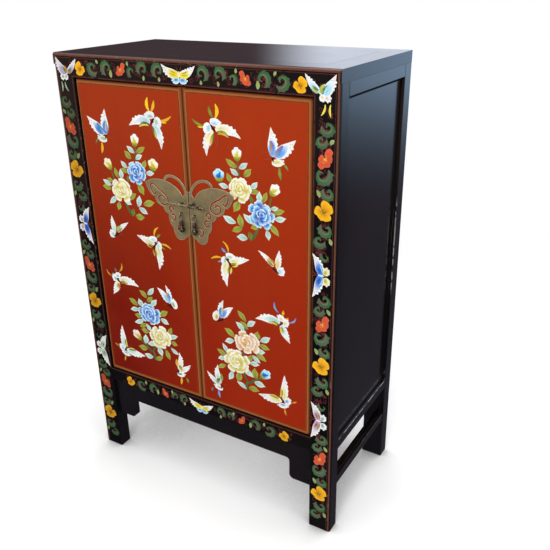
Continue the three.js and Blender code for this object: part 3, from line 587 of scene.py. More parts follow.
def curve(start, end, bend, count):
    """Points from start to end on one bow. bend is its rise over its length, to the left."""
    start, end = Vector(start), Vector(end)
    knee = (start + end) / 2 + left_of(end - start) * bend * 2
    shares = [(index + 0.35) / (count - 0.3) for index in range(count)]
    return [start * (1 - t) ** 2 + knee * 2 * t * (1 - t) + end * t ** 2 for t in shares]


def beside(start, end, share, across, bow):
    """A point next to a bowed stroke: a share of its length along and a distance to its left."""
    chord = end - start
    rise = bow * chord.length * 4 * share * (1 - share)
    return start.lerp(end, share) + left_of(chord).normalized() * (across + rise)


def blended(colours, share):
    """The colour at a share of the way through a list of colours."""
    reach = min(max(share, 0), 1) * (len(colours) - 1)
    index = min(int(reach), len(colours) - 2)
    part = reach - index
    return [a * (1 - part) + b * part for a, b in zip(colours[index], colours[index + 1])]


class Painting:
    """The touches of paint on one upright face, in one mesh."""

    def __init__(self, name, face, seed):
        self.name, self.face = name, face
        self.bm = bmesh.new()
        self.wet = bpy.data.meshes.new("wet_paint")
        self.random = random.Random(seed)
        self.mirror(1, 0)
        self.colour_level = 1.0
        self.touches = 0

    def mirror(self, side, shift):
        """Side 1 paints as drawn and -1 paints the mirror image, moved sideways by shift."""
        self.side, self.shift = side, shift

    def touch(self, points, width, kind, colours, rim=None, rim_share=0.0, rim_foot=1.0, coat=0,
              ends=(0.25, 0.25)):
        """One touch of the brush along points. Its edges turn to the colour rim, less at the foot."""
        widths = TOUCHES[kind] if isinstance(kind, str) else kind
        count = len(points)
        if len(colours) == 1:
            colours *= 2
        section = HAIR_SECTION if width < HAIRLINE else SECTION
        # A colour level below 1 darkens the touch; on the left leg of the border it is painted shade.
        light = self.random.uniform(0.94, 1.05) * self.colour_level
        ball = bmesh.new()
        colour = ball.verts.layers.float_color.new("paint")
        bmesh.ops.create_uvsphere(ball, u_segments=len(section), v_segments=count + 1, radius=1)
        for vert in ball.verts:
            ring = round(math.acos(max(-1, min(1, vert.co.z))) / math.pi * (count + 1))
            station = min(max(ring, 1), count) - 1
            before, after = points[max(station - 1, 0)], points[min(station + 1, count - 1)]
            along = (after - before).normalized()
            half = width / 2 * blended([(share,) for share in widths], station / (count - 1))[0]
            place = points[station].copy()
            lift, on_rim = coat * COAT, 1
            if ring in (0, count + 1):
                place += along * half * (-ends[0] if ring == 0 else ends[1])
                lift *= 0.5
            else:
                step = round(math.atan2(vert.co.y, vert.co.x) / TURN * len(section)) % len(section)
                sideways, above, dome = section[step]
                lift = lift + dome * DOME if above else -SUNK
                on_rim = abs(sideways) ** 2
                place += left_of(along) * half * sideways
            shade = blended(colours, (ring - 0.5) / count)
            if rim:
                on_rim *= blended([(rim_foot,), (1,)], (ring - 0.5) / count)[0]
                shade = [a + (b - a) * on_rim * rim_share for a, b in zip(shade, rim)]
            vert[colour] = [min(channel * light, 1) for channel in shade[:3]] + [1]
            vert.co = ((self.side * place.x + self.shift) * MM, self.face - lift * MM, place.y * MM)
        bmesh.ops.recalc_face_normals(ball, faces=ball.faces)
        ball.to_mesh(self.wet)
        ball.free()
        self.bm.from_mesh(self.wet)
        self.touches += 1

    def line(self, start, end, width, kind, colours, bend=0.0, **settings):
        """A touch on one bow from start to end."""
        self.touch(curve(start, end, bend, len(TOUCHES[kind])), width, kind, colours, **settings)

    def dab(self, place, reach, width, colours, bend=0.0, kind="lobe", **settings):
        """A short touch that reaches as far to one side of a place as to the other."""
        self.line(place - reach, place + reach, width, kind, colours, bend, **settings)

    def dot(self, place, reach, width, colour, coat):
        """A round touch of one colour that begins at a place."""
        self.line(place, place + reach, width, "lobe", (colour,), coat=coat)

    def hang(self, body, slot, finish):
        """Makes the mesh and lets it ride on a body of the cabinet."""
        mesh = bpy.data.meshes.new(self.name)
        self.bm.to_mesh(mesh)
        self.bm.free()
        bpy.data.meshes.remove(self.wet)
        mesh.shade_smooth()
        mesh.set_sharp_from_angle(angle=SHARP_FROM)
        mesh.materials.append(finish.material)
        piece = bpy.data.objects.new(self.name, mesh)
        bpy.context.scene.collection.objects.link(piece)
        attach(piece, body)
        triangles = sum(len(polygon.vertices) - 2 for polygon in mesh.polygons)
        print(f"{self.name}: {self.touches} touches, {triangles} triangles")


print("brush ready")

# %% [markdown]
# The paint is a semi-gloss oil colour. Its hue comes from the point colours. Two noises break it up: a
# fine one for the brush hairs and a coarse one where the top glaze has yellowed or rubbed thin.

# %% Paint and its palette
paint = Finish("raised_paint")
tone = paint.add("Attribute", {"attribute_name": "paint"}).outputs["Color"]
hairs = paint.noise(1500, 2, 0.5, paint.stretched(1.0, 1.0, 0.35))
tone = paint.mix(paint.step(hairs, 0.45, 0.75), tone, rgb(120, 96, 70), 0.08)
tone = paint.mix(paint.patches(210, 4, 0.7, 0.60, 0.72), tone, rgb(96, 60, 44), 0.14)
paint.done(Base_Color=tone, Roughness=paint.blend(hairs, 0.30, 0.45),
           Normal=paint.bump(hairs, 0.06 * MM, 0.5), Specular_IOR_Level=0.15)

WHITE = rgb(240, 241, 240)
CREAM = rgb(240, 231, 200)
BLUSH = rgb(242, 216, 204)
PEACH = rgb(232, 196, 158)
YELLOW = rgb(226, 204, 72)
GOLD = rgb(232, 168, 28)
SUN = rgb(246, 196, 30)
OCHRE = rgb(200, 128, 40)
OLIVE = rgb(142, 150, 52)
MOSS = rgb(92, 116, 46)
FOREST = rgb(52, 88, 56)
PALE = rgb(160, 205, 188)
MIST = rgb(206, 228, 216)
SAGE = rgb(136, 182, 166)
SKY = rgb(142, 206, 240)
BLUE = rgb(44, 138, 214)
DEEP_BLUE = rgb(10, 84, 176)
NAVY = rgb(52, 58, 104)
MAROON = rgb(96, 36, 42)
FEELER = rgb(156, 74, 48)
INK = rgb(22, 16, 16)
print("paint mixed")

# %% [markdown]
# A peony is painted from the outside in: rings of cupped petals, each on a higher coat and nearer the
# heart, then a few curled touches in the deep colour. A petal keeps the deep colour from its foot to
# where the next ring covers it, and turns to white at its lip, where three small round touches ruffle
# it. A bud is a fan of the same petals over a green cup, and a leaf is one touch with a darker rib.

# %% Peony, bud and leaf
# Petals in a ring, where they start and end from the heart, their width, and their coat.
PETAL_RINGS = (
    (7, 0.44, 0.96, 0.66, 1),
    (5, 0.14, 0.68, 0.64, 4),
    (3, -0.10, 0.42, 0.50, 7),
    (2, -0.14, 0.18, 0.30, 10),
)
HEART_COAT = 13
# Where the round touches of a petal's lip lie: to the side as a share of its width, and along it.
RUFFLES = ((-0.28, 0.78), (0.02, 0.90), (0.30, 0.76))
RUFFLE_REACH = 0.17
ROUND = (0.1, 0.12)
# The petals of a bud: how far each leans to a side, its share of the length, and its coat.
BUD_FAN = ((-0.75, 0.80, 0), (0.75, 0.80, 1), (0, 1.0, 2), (-0.35, 0.72, 3), (0.38, 0.66, 4))


def peony(painting, centre, size, colours, turn, lean):
    """colours are deep, middle and lip. lean moves the heart, as shares of the half size."""
    deep, middle, lip = colours
    centre, half = Vector(centre), Vector(size) / 2
    breadth = half.length / math.sqrt(2)
    heart = centre + half * Vector(lean)
    chance = painting.random.uniform

    def way_at(angle):
        return Vector((math.cos(angle) * half.x, math.sin(angle) * half.y))

    for index in range(3):
        painting.dab(centre, way_at(turn + index * TURN / 6) * 0.66, breadth * 0.9, (deep,))
    for count, inner, outer, width, ring_coat in PETAL_RINGS:
        middle_of_ring = centre.lerp(heart, 1 - outer * outer)
        width *= breadth
        for index in range(count):
            way = way_at(turn + (index + 0.4 * ring_coat + chance(-0.2, 0.2)) * TURN / count)
            foot = middle_of_ring + way * inner
            tip = middle_of_ring + way * outer * chance(0.88, 1.06)
            bow = chance(-0.14, 0.14)
            inner_tone = blended((deep, middle), chance(0.0, 0.7))
            coat = ring_coat + index % 2
            for across, along in RUFFLES:
                painting.dab(beside(foot, tip, along, across * width, bow), (tip - foot) * RUFFLE_REACH,
                             width * 0.36, (lip, WHITE), coat=coat)
            painting.line(foot, tip, width, "petal", (deep, deep, deep, inner_tone, lip, WHITE), bow,
                          rim=WHITE, rim_share=0.9, rim_foot=0.1, coat=coat + 1, ends=ROUND)
            painting.line(foot.lerp(tip, 0.2), foot.lerp(tip, chance(0.62, 0.80)), width * 0.16, "line",
                          (deep, inner_tone, middle), chance(-0.25, 0.25), coat=coat + 2)
    for index in range(3):
        way = way_at(turn + index * TURN / 3 + chance(-0.4, 0.4))
        painting.dab(heart + way * 0.17, left_of(way) * 0.15, breadth * 0.09, (deep,), -0.3, "line",
                     coat=HEART_COAT)


def bud(painting, foot, tip, width, colours, cup):
    """Petals in a fan, three deeper touches at their foot, and a cup of three green touches."""
    deep, middle, lip = colours
    foot, tip = Vector(foot), Vector(tip)
    way = tip - foot
    side = left_of(way).normalized() * width / 2
    for across, reach, coat in BUD_FAN:
        painting.line(foot + side * across * 0.35, foot + way * reach * 0.94 + side * across * 0.86,
                      width * 0.48, "petal", (middle, middle, middle, lip, WHITE), -0.12 * across,
                      rim=WHITE, rim_share=0.8, rim_foot=0.2, coat=coat, ends=ROUND)
    for across in (-0.35, 0.3, 0.0):
        painting.line(foot + way * 0.08, foot + way * (0.58 + across * 0.3) + side * across, width * 0.20,
                      "petal", (deep, deep, middle), -0.15 * across, rim=middle, rim_share=0.5, coat=5)
    for across in (-0.7, 0.7, 0):
        painting.line(foot - way * 0.16, foot + way * 0.24 + side * across, width * 0.24, "leaf",
                      (cup, OLIVE, blended((OLIVE, YELLOW), 0.5)), -0.2 * across, coat=6)


LEAF_COLOURS = {"pale": ((SAGE, PALE, MIST), WHITE), "olive": ((MOSS, OLIVE, OLIVE), rgb(186, 190, 96)),
                "green": ((FOREST, MOSS, MOSS), OLIVE)}


def leaf(painting, foot, tip, width, kind):
    colours, rim = LEAF_COLOURS[kind]
    bend = painting.random.uniform(-0.08, 0.08)
    painting.line(foot, tip, width, "leaf", colours, bend, rim=rim, rim_share=0.7, coat=1, ends=(0.4, 1.7))
    painting.line(foot, Vector(foot).lerp(Vector(tip), 0.78), width * 0.07, "line", colours[:2], bend, coat=2)


print("flowers ready")

# %% [markdown]
# The butterflies all differ in pose, but they are made of the same strokes. So each is a short list:
# where its long wings, round wings, tails and body start and end, how wide they are and how they bow.
# A wing gets a tinted shade near the body, and two bands along one side. What changes from one door to
# the other is only the set of colours.

# %% Butterfly
# Small waves on the free edge of a wing, as shares of its length and its width.
WING_SCALLOPS = ((0.24, 0.36), (0.40, 0.40), (0.56, 0.36), (0.70, 0.25))
LOBE_SCALLOPS = 7
# Where the three dots near the tip of a wing lie, in the same way.
WING_DOTS = ((0.70, 0.12), (0.76, -0.06), (0.83, 0.05))
# How far the foot of a long wing and the middle of a round one are drawn in to the body.
WING_DRAWN_IN, LOBE_DRAWN_IN = 0.6, 0.2
# How much of a wing's width its shade fills.
WING_FILL = {"wing": 0.74, "broad wing": 0.86}
TAPERED = (0.5, 2.0)


def free_side(start, end, lines):
    """The side of a wing that its bands leave free: 1 for its left and -1 for its right."""
    middles = [(foot + tip) / 2 for foot, tip, *_ in lines]
    nearest = min(middles, key=lambda middle: (middle - start.lerp(end, 0.4)).length)
    return -1 if (nearest - start).dot(left_of(end - start)) > 0 else 1


def butterfly(painting, colours, wings, bands, rims, lobes, body, tails=(), ribbons=(), feelers=(),
              move=(0, 0), coat=2, kind="wing"):
    """Strokes are (x, z, x, z, width, bow). colours comes from wing_colours."""
    def placed(strokes):
        return [(Vector(each[:2]) + Vector(move), Vector(each[2:4]) + Vector(move), *each[4:])
                for each in strokes]

    neck, rump, body_width, body_bow = placed(body)[0]
    waist = neck.lerp(rump, 0.5)

    def towards_body(place, share):
        """A point moved a share of the way to the nearest point of the body."""
        along = (place - neck).dot(rump - neck) / (rump - neck).length_squared
        return place.lerp(neck + (rump - neck) * min(max(along, 0), 1), share)

    for strokes, colour in ((tails, colours["tail"]), (ribbons, colours["ribbon"])):
        for start, end, width, bow in placed(strokes):
            painting.line(start, end, width, "tail", (colour, blended((colour, YELLOW), 0.35), colour), bow,
                          coat=coat - 1, rim=colour, rim_share=0.8, ends=(0.2, 1.6))
    for start, end, width, bow in placed(feelers):
        painting.line(start, end, width * 0.8, "line", (FEELER,), bow, coat=coat - 1)
    shade = colours["shade"]
    pale = blended((shade, WHITE), 0.5)
    under = (shade, pale, pale, WHITE, BLUSH) if kind == "broad wing" else (pale, pale, WHITE, WHITE, BLUSH)
    for start, end, width, bow in placed(wings):
        start = towards_body(start, WING_DRAWN_IN)
        way = end - start
        side = free_side(start, end, placed(bands + rims))
        for share, across in WING_SCALLOPS:
            place = beside(start, end, share, side * across * width, bow)
            painting.dot(place, way * 0.11, width * 0.30, WHITE, coat)
        painting.line(start, end, width, kind, under, bow, rim=WHITE, rim_share=0.7, coat=coat,
                      ends=(0.5, 2.4))
        root, reach = (beside(start, end, share, -side * width * 0.07, bow) for share in (0.02, 0.72))
        painting.line(root, reach, width * WING_FILL[kind], kind, (shade, shade, shade, pale, WHITE), bow,
                      rim=pale, rim_share=0.25, coat=coat + 1)
        for across in (-0.17, 0.02, 0.2):
            painting.line(beside(start, end, 0.1, 0, bow), beside(start, end, 0.55, across * width, bow),
                          width * 0.05, "line", (colours["rib"], shade), bow, coat=coat + 2)
        for share, across in WING_DOTS:
            place = beside(start, end, share, across * width, bow)
            painting.dot(place, way * 0.03, width * 0.09, colours["dot"], coat + 2)
    for strokes, colour in ((bands, colours["band"]), (rims, colours["rim"])):
        outline = (colours["outline"], blended((colour, colours["outline"]), 0.75))
        fill = (colour, colour, blended((colour, CREAM), 0.35))
        for start, end, width, bow in placed(strokes):
            width *= 1.2
            painting.line(start, end, width + 1.4, "tail", outline, bow, coat=coat + 2, ends=TAPERED)
            painting.line(start, end, width, "tail", fill, bow, coat=coat + 3, ends=TAPERED)
    spot, lobe = colours["spot"], colours["lobe"]
    tint = blended((spot, lobe), 0.45)
    for start, end, width, bow in placed(lobes):
        centre, half = start.lerp(end, 0.5), (end - start) / 2
        drawn_in = towards_body(centre, LOBE_DRAWN_IN) - centre
        start, end, centre = start + drawn_in, end + drawn_in, centre + drawn_in
        left = left_of(half).normalized() * width / 2
        inwards = (waist - centre).normalized() * width
        for index in range(LOBE_SCALLOPS):
            angle = TURN * index / LOBE_SCALLOPS
            place = centre + half * math.cos(angle) * 1.08 + left * math.sin(angle) * 0.84
            if (place - centre).dot(inwards) < 0:
                painting.dab(place, half * 0.14, width * 0.26, (WHITE,), coat=coat)
        painting.line(start, end, width, "lobe", (lobe,), bow, rim=WHITE, rim_share=0.9, coat=coat + 1,
                      ends=(0.3, 0.3))
        painting.dab(centre + inwards * 0.14, half * 0.62, width * 0.50, (tint, spot, tint), bow, rim=lobe,
                     rim_share=0.8, coat=coat + 2)
        for share in (-0.42, 0.0, 0.42):
            place = centre - inwards * 0.14 + half * share
            painting.dot(place, inwards * -0.07, width * 0.09, blended((spot, INK), 0.4), coat + 3)
    painting.line(neck.lerp(rump, -0.05), neck.lerp(rump, 1.05), body_width * 0.9, "line", (colours["body"],),
                  body_bow, coat=coat + 6)


def wing_colours(shade, band, rim, spot, tail=OCHRE, ribbon=MOSS, body=INK, lobe=WHITE, **more):
    """more may give outline, rib and dot. Without them they follow from the other colours."""
    return {"shade": shade, "band": band, "rim": rim, "spot": spot, "tail": tail, "ribbon": ribbon,
            "body": body, "lobe": lobe, "outline": INK, "rib": blended((shade, INK), 0.4),
            "dot": blended((spot, INK), 0.3), **more}


print("butterfly strokes ready")

# %% [markdown]
# Both doors carry one drawing, mirrored, in changed colours: the top peony is blue on the left door and
# cream on the right one. So the drawing is written once, for the left door, and painted twice. All
# numbers are millimetres from the centre line and from the floor.

# %% The drawing of the doors: leaves, stems, peonies and buds
# Each leaf is foot x, foot z, tip x, tip z and width.
PALE_LEAVES = (
    (-160, 970, -184, 985, 14), (-160, 954, -138, 967, 14), (-131, 922, -104, 926, 14),
    (-190, 928, -209, 944, 14), (-215, 896, -215, 922, 16), (-160, 546, -136, 569, 16),
    (-128, 513, -100, 503, 17), (-148, 434, -183, 419, 17))
OLIVE_LEAVES = (
    (-158, 972, -127, 989, 14), (-173, 953, -193, 972, 16), (-143, 934, -128, 955, 14),
    (-188, 916, -214, 923, 12), (-223, 897, -234, 924, 13), (-160, 893, -144, 866, 20),
    (-172, 556, -150, 574, 14), (-130, 521, -100, 541, 17))
GREEN_LEAVES = (
    (-194, 891, -190, 909, 10), (-183, 822, -188, 801, 13))
# These are pale on the left door and olive on the right one, or the other way round.
PALE_THEN_OLIVE = (
    (-250, 875, -279, 887, 14), (-236, 850, -264, 825, 15), (-212, 840, -190, 832, 15),
    (-166, 828, -159, 859, 18), (-166, 827, -137, 815, 16), (-167, 577, -142, 603, 15),
    (-194, 534, -199, 556, 20), (-202, 522, -233, 516, 15), (-188, 496, -223, 478, 15),
    (-182, 485, -164, 464, 14), (-193, 416, -188, 446, 20), (-144, 422, -134, 393, 20),
    (-100, 430, -73, 415, 13), (-103, 457, -72, 472, 15), (-166, 380, -198, 381, 18))
OLIVE_THEN_PALE = (
    (-243, 887, -263, 892, 12), (-231, 834, -237, 811, 15), (-200, 843, -170, 863, 16),
    (-149, 837, -112, 849, 18), (-180, 803, -150, 803, 18), (-169, 565, -193, 584, 16),
    (-205, 533, -235, 550, 17), (-197, 499, -219, 503, 15), (-181, 485, -205, 469, 14),
    (-173, 458, -201, 461, 16), (-184, 404, -217, 401, 19), (-118, 419, -106, 389, 16),
    (-107, 468, -91, 494, 14), (-97, 450, -75, 444, 14), (-162, 374, -132, 389, 14),
    (-252, 865, -282, 870, 15))
# Each stem is foot x, foot z, tip x, tip z, width and bow, from the thin end to the thick one.
STEMS = (
    (-157, 990, -163, 948, 4, 0.04), (-246, 914, -240, 884, 6, 0.05), (-210, 850, -185, 800, 9, -0.12),
    (-152, 905, -128, 922, 3, 0.1), (-165, 590, -166, 545, 4, 0.05), (-150, 440, -168, 398, 6, 0.10),
    (-168, 402, -158, 370, 11, 0.08), (-208, 424, -168, 392, 7, 0.06), (-150, 486, -158, 474, 5, 0.0))
# Each flower is its centre, its size and the lean of its heart.
PEONIES = (((-161, 921), (66, 66), (0.0, 0.1)), ((-217, 867), (76, 68), (-0.1, 0.05)),
           ((-166, 518), (84, 68), (0.0, 0.0)), ((-134, 452), (84, 76), (0.05, 0.1)))
# Each bud is foot, tip and width.
BUDS = (((-158, 989), (-155, 1022), 30), ((-106, 934), (-102, 966), 36), ((-246, 920), (-266, 948), 30),
        ((-207, 427), (-236, 452), 32))
LEAF_TABLES = (GREEN_LEAVES, OLIVE_LEAVES, PALE_LEAVES, OLIVE_THEN_PALE, PALE_THEN_OLIVE)
print(sum(len(leaves) for leaves in LEAF_TABLES), "leaves")

# %% [markdown]
# The butterflies fly in four pairs. They are listed from the top down, the outer one of a pair first.

# %% The drawing of the doors: eight butterflies
BUTTERFLIES = (
    dict(wings=((-264, 1009, -307, 1048, 28, 0.02), (-252, 1007, -247, 1070, 25, 0.03)),
         bands=((-270, 1031, -254, 1010, 4, -0.1), (-243, 1044, -246, 1014, 4, -0.12)),
         rims=((-279, 1036, -257, 1007, 7, 0.06), (-247, 1044, -250, 1016, 6, -0.08)),
         lobes=((-281, 999, -250, 995, 17, -0.05),), tails=((-268, 988, -272, 957, 9, 0.06),),
         ribbons=((-276, 995, -290, 980, 6, -0.1),), body=((-250, 1007, -253, 996, 4, 0),),
         feelers=((-247, 1008, -219, 1013, 1.1, 0.18), (-247, 1006, -222, 1004, 1.1, -0.2))),
    dict(wings=((-101, 1054, -168, 1039, 24, -0.12), (-92, 1049, -73, 990, 22, 0.12)),
         bands=((-104, 1042, -138, 1037, 4, -0.14), (-92, 1037, -85, 1013, 5, 0.02)),
         rims=((-103, 1047, -136, 1042, 4, -0.15), (-96, 1044, -89, 1018, 6, 0.05)),
         lobes=((-119, 1068, -88, 1071, 19, 0.06), (-82, 1064, -75, 1038, 23, 0.08)),
         tails=((-100, 1076, -103, 1111, 10, 0.18), (-72, 1057, -51, 1055, 5, -0.05)),
         ribbons=((-97, 1076, -85, 1105, 9, -0.08), (-77, 1058, -35, 1073, 7, -0.12)),
         body=((-100, 1049, -87, 1063, 4, 0),),
         feelers=((-103, 1047, -106, 1012, 1.1, 0.2), (-102, 1046, -97, 1010, 1.1, -0.2))),
    dict(wings=((-264, 748, -265, 789, 17, 0.0), (-254, 751, -207, 779, 13, 0.06)),
         bands=((-256, 749, -233, 765, 5, 0.1),), rims=((-250, 746, -230, 761, 5, 0.0),),
         lobes=((-271, 750, -269, 728, 21, 0.0),), body=((-264, 730, -244, 742, 4, 0.05),),
         feelers=((-246, 740, -226, 735, 1.0, 0.2),)),
    dict(wings=((-124, 737, -180, 749, 20, 0.02), (-115, 735, -114, 665, 24, 0.08)),
         bands=((-131, 722, -151, 731, 4, 0.1), (-129, 719, -125, 700, 5, -0.05)),
         rims=((-123, 726, -146, 734, 4, 0.05), (-122, 720, -119, 699, 4, 0.0)),
         lobes=((-143, 749, -115, 750, 16, 0.05), (-112, 742, -105, 720, 17, 0.1)),
         tails=((-121, 753, -104, 784, 6, 0.2), (-105, 738, -67, 729, 6, 0.12)),
         ribbons=((-115, 754, -101, 765, 7, 0.0), (-107, 731, -88, 725, 5, 0.05)),
         body=((-130, 723, -111, 742, 4, 0),), feelers=((-131, 722, -142, 700, 1.0, 0.15),)),
    dict(wings=((-263, 604, -196, 595, 24, 0.08), (-270, 597, -292, 552, 21, 0.06)),
         bands=((-259, 591, -232, 594, 4, 0.1), (-264, 590, -270, 571, 5, -0.05)),
         rims=((-262, 595, -238, 597, 4, 0.1), (-268, 591, -275, 575, 4, 0.0)),
         lobes=((-276, 612, -257, 621, 17, 0.0), (-285, 614, -280, 593, 18, 0.0)),
         tails=((-287, 608, -309, 626, 5, 0.22), (-263, 626, -250, 655, 6, -0.2)),
         ribbons=((-271, 622, -274, 636, 8, 0.1), (-281, 611, -288, 619, 7, 0.0)),
         body=((-274, 604, -264, 593, 4, 0),), feelers=((-263, 592, -246, 577, 1.0, 0.15),)),
    dict(wings=((-95, 572, -128, 607, 19, -0.12), (-90, 571, -99, 621, 18, -0.10)),
         bands=((-97, 603, -94, 578, 4, 0.05),), rims=((-92, 601, -90, 577, 5, 0.05),),
         lobes=((-79, 587, -70, 559, 20, 0.08),), body=((-98, 568, -74, 557, 4, -0.05),),
         feelers=((-99, 568, -112, 561, 1.0, 0.2),)),
    dict(wings=((-279, 379, -276, 453, 21, 0.0), (-268, 373, -199, 373, 24, -0.02)),
         bands=((-265, 413, -262, 383, 5, -0.1), (-259, 382, -235, 384, 4, 0.05)),
         rims=((-269, 410, -266, 386, 4, -0.05), (-260, 377, -230, 380, 5, 0.08)),
         lobes=((-293, 390, -281, 370, 19, 0.0), (-285, 364, -256, 357, 15, -0.05)),
         tails=((-297, 378, -312, 386, 5, 0.0), (-276, 355, -281, 333, 6, 0.05)),
         body=((-277, 370, -262, 385, 4, 0),), feelers=((-261, 386, -248, 398, 1.0, -0.15),)),
    dict(wings=((-72, 369, -71, 422, 19, -0.10), (-70, 361, -34, 392, 16, -0.04)),
         bands=((-81, 399, -81, 374, 8, -0.05),), rims=((-76, 382, -67, 364, 8, 0.1),),
         lobes=((-83, 350, -55, 356, 16, -0.05),), tails=((-70, 344, -73, 317, 8, 0.05),),
         ribbons=((-52, 347, -46, 330, 8, 0.05),), body=((-82, 361, -78, 350, 5, 0),),
         feelers=((-83, 362, -95, 372, 1.0, 0.15),)),
)
print(len(BUTTERFLIES), "butterflies")

# %% [markdown]
# The two sets of colours. The peonies and buds are deep colour, middle colour and lip, and the
# butterflies what `wing_colours` takes.

# %% Paint the doors
BLUE_FLOWER = (rgb(0, 86, 188), rgb(0, 142, 224), rgb(112, 212, 250))
CREAM_FLOWER = (rgb(204, 188, 34), rgb(238, 226, 140), rgb(249, 245, 216))
GOLD_FLOWER = (rgb(202, 170, 20), rgb(232, 210, 92), rgb(246, 238, 190))
PEACH_FLOWER = (rgb(208, 150, 60), rgb(236, 206, 140), BLUSH)
WHITE_FLOWER = (rgb(200, 182, 36), rgb(230, 224, 144), WHITE)
DOOR_COLOURS = {
    "left": {
        "leaves": ("green", "olive", "pale", "olive", "pale"),
        "peonies": (BLUE_FLOWER, CREAM_FLOWER, BLUE_FLOWER, CREAM_FLOWER),
        "buds": (WHITE_FLOWER, GOLD_FLOWER, GOLD_FLOWER, PEACH_FLOWER),
        "butterflies": (
            (rgb(70, 130, 210), YELLOW, BLUE, rgb(190, 170, 80), GOLD, FOREST, INK, MIST),
            (rgb(196, 220, 236), YELLOW, MOSS, SAGE, SUN, GOLD),
            (MIST, rgb(186, 168, 60), OLIVE, SAGE),
            (rgb(226, 222, 176), OCHRE, OLIVE, SKY, GOLD, MOSS),
            (CREAM, OCHRE, OLIVE, SAGE, OCHRE, NAVY),
            (SKY, OCHRE, BLUE, OLIVE),
            (MIST, YELLOW, MOSS, SAGE, OCHRE),
            (CREAM, GOLD, OLIVE, NAVY, GOLD, MOSS))},
    "right": {
        "leaves": ("green", "olive", "pale", "pale", "olive"),
        "peonies": (CREAM_FLOWER, BLUE_FLOWER, PEACH_FLOWER, CREAM_FLOWER),
        "buds": (WHITE_FLOWER, BLUE_FLOWER, WHITE_FLOWER, BLUE_FLOWER),
        "butterflies": (
            (rgb(100, 168, 236), OCHRE, rgb(120, 120, 186), YELLOW, MOSS, MOSS, INK, CREAM),
            (rgb(240, 232, 184), GOLD, OLIVE, SKY, SUN, MOSS),
            (rgb(236, 214, 150), OCHRE, OLIVE, SKY),
            (rgb(236, 230, 170), YELLOW, OLIVE, SAGE, GOLD, BLUE),
            (rgb(186, 220, 214), YELLOW, OLIVE, rgb(226, 190, 110), BLUE, GOLD),
            (rgb(104, 152, 226), YELLOW, BLUE, OLIVE, OCHRE, MOSS, INK, CREAM),
            (rgb(238, 228, 160), rgb(222, 190, 40), OLIVE, BLUE, OCHRE),
            (rgb(190, 214, 208), OLIVE, MOSS, OCHRE, BLUE, NAVY))},
}


def paint_door(name, colours, side, shift, seed):
    """Lays the one drawing on a door, from the stems up to the butterflies."""
    painting = Painting(name, DOOR_FRONT, seed)
    painting.mirror(side, shift)
    for stem in STEMS:
        painting.line(stem[:2], stem[2:4], stem[4], "stem", (MOSS, FOREST), stem[5])
    for leaves, kind in zip(LEAF_TABLES, colours["leaves"]):
        for each in leaves:
            leaf(painting, each[:2], each[2:4], each[4], kind)
    for (foot, tip, width), flower in zip(BUDS, colours["buds"]):
        bud(painting, foot, tip, width, flower, FOREST)
    for (centre, size, lean), flower in zip(PEONIES, colours["peonies"]):
        peony(painting, centre, size, flower, painting.random.uniform(0, 1), lean)
    for drawing, wings in zip(BUTTERFLIES, colours["butterflies"]):
        butterfly(painting, wing_colours(*wings), **drawing)
    return painting


# The right door's drawing is the left one's mirror image, set a little nearer the centre line.
DOOR_SHIFT = 12
left_flowers = paint_door("painted_flowers_left", DOOR_COLOURS["left"], 1, 0, 7)
left_flowers.hang("door_left", "red_lacquer", paint)
right_flowers = paint_door("painted_flowers_right", DOOR_COLOURS["right"], -1, -DOOR_SHIFT, 11)
right_flowers.hang("door_right", "red_lacquer", paint)

# %% [markdown]
# The frame around the doors is black with its own painting: green scrolls, small red and yellow
# flowers and a few butterflies. It too is one drawing, of the right half, mirrored to the left. Down
# the leg the same set of motifs comes three times, so it is one list, drawn from three heights.
#
# A scroll is a long touch whose path is an arc that tightens towards its end, thin at first, full in
# the middle and closed with a small knob. Small waves lie along its outer edge, and thin lines in it.

# %% Scrolls and small flowers
SCROLL = rgb(72, 98, 68)
SCROLL_GREY = rgb(100, 98, 82)
SCROLL_GREEN = rgb(56, 100, 60)
LIGHT_SCROLL = rgb(96, 128, 92)
CURL_BROWN = rgb(112, 62, 44)
SCROLL_WIDTHS = (0.15, 0.5, 0.85, 1.0, 1.05, 1.0, 0.85, 0.7, 0.5, 0.42, 0.5, 0.6)
SCROLL_POINTS = 16
SCROLL_TIGHTENS_AT = 0.58
SCROLL_END_SHARE = 0.42
SCROLL_FATTER = 1.3
# Where the small waves on its outer edge sit, as shares of the path, and how big they are.
SCROLL_WAVES = ((0.14, 0.42), (0.25, 0.52), (0.36, 0.56), (0.47, 0.52), (0.58, 0.44))
# The thin lines: share of the radius, where on the path they run, points, share of the width, and coat.
SCROLL_LINES = ((0.84, 0.12, 0.9, SCROLL_POINTS, 0.22, 1, (SCROLL_GREY, LIGHT_SCROLL, SCROLL_GREEN)),
                (1, 0.96, 1.42, 7, 0.20, 0, (SCROLL_GREY, CURL_BROWN)),
                (0.66, 0.10, 0.66, 8, 0.13, 2, (CURL_BROWN,)))


def spiral(centre, radius, start, sweep, first, last, count):
    """Points on the scroll's path between two shares of it. Beyond 1 it goes on tightening."""
    points = []
    for index in range(count):
        share = first + (last - first) * index / (count - 1)
        tighter = max(0, share - SCROLL_TIGHTENS_AT) / (1 - SCROLL_TIGHTENS_AT)
        reach = radius * max(1 - (1 - SCROLL_END_SHARE) * tighter, 0.12)
        angle = math.radians(start + sweep * share)
        points.append(Vector(centre) + Vector((math.cos(angle), math.sin(angle))) * reach)
    return points


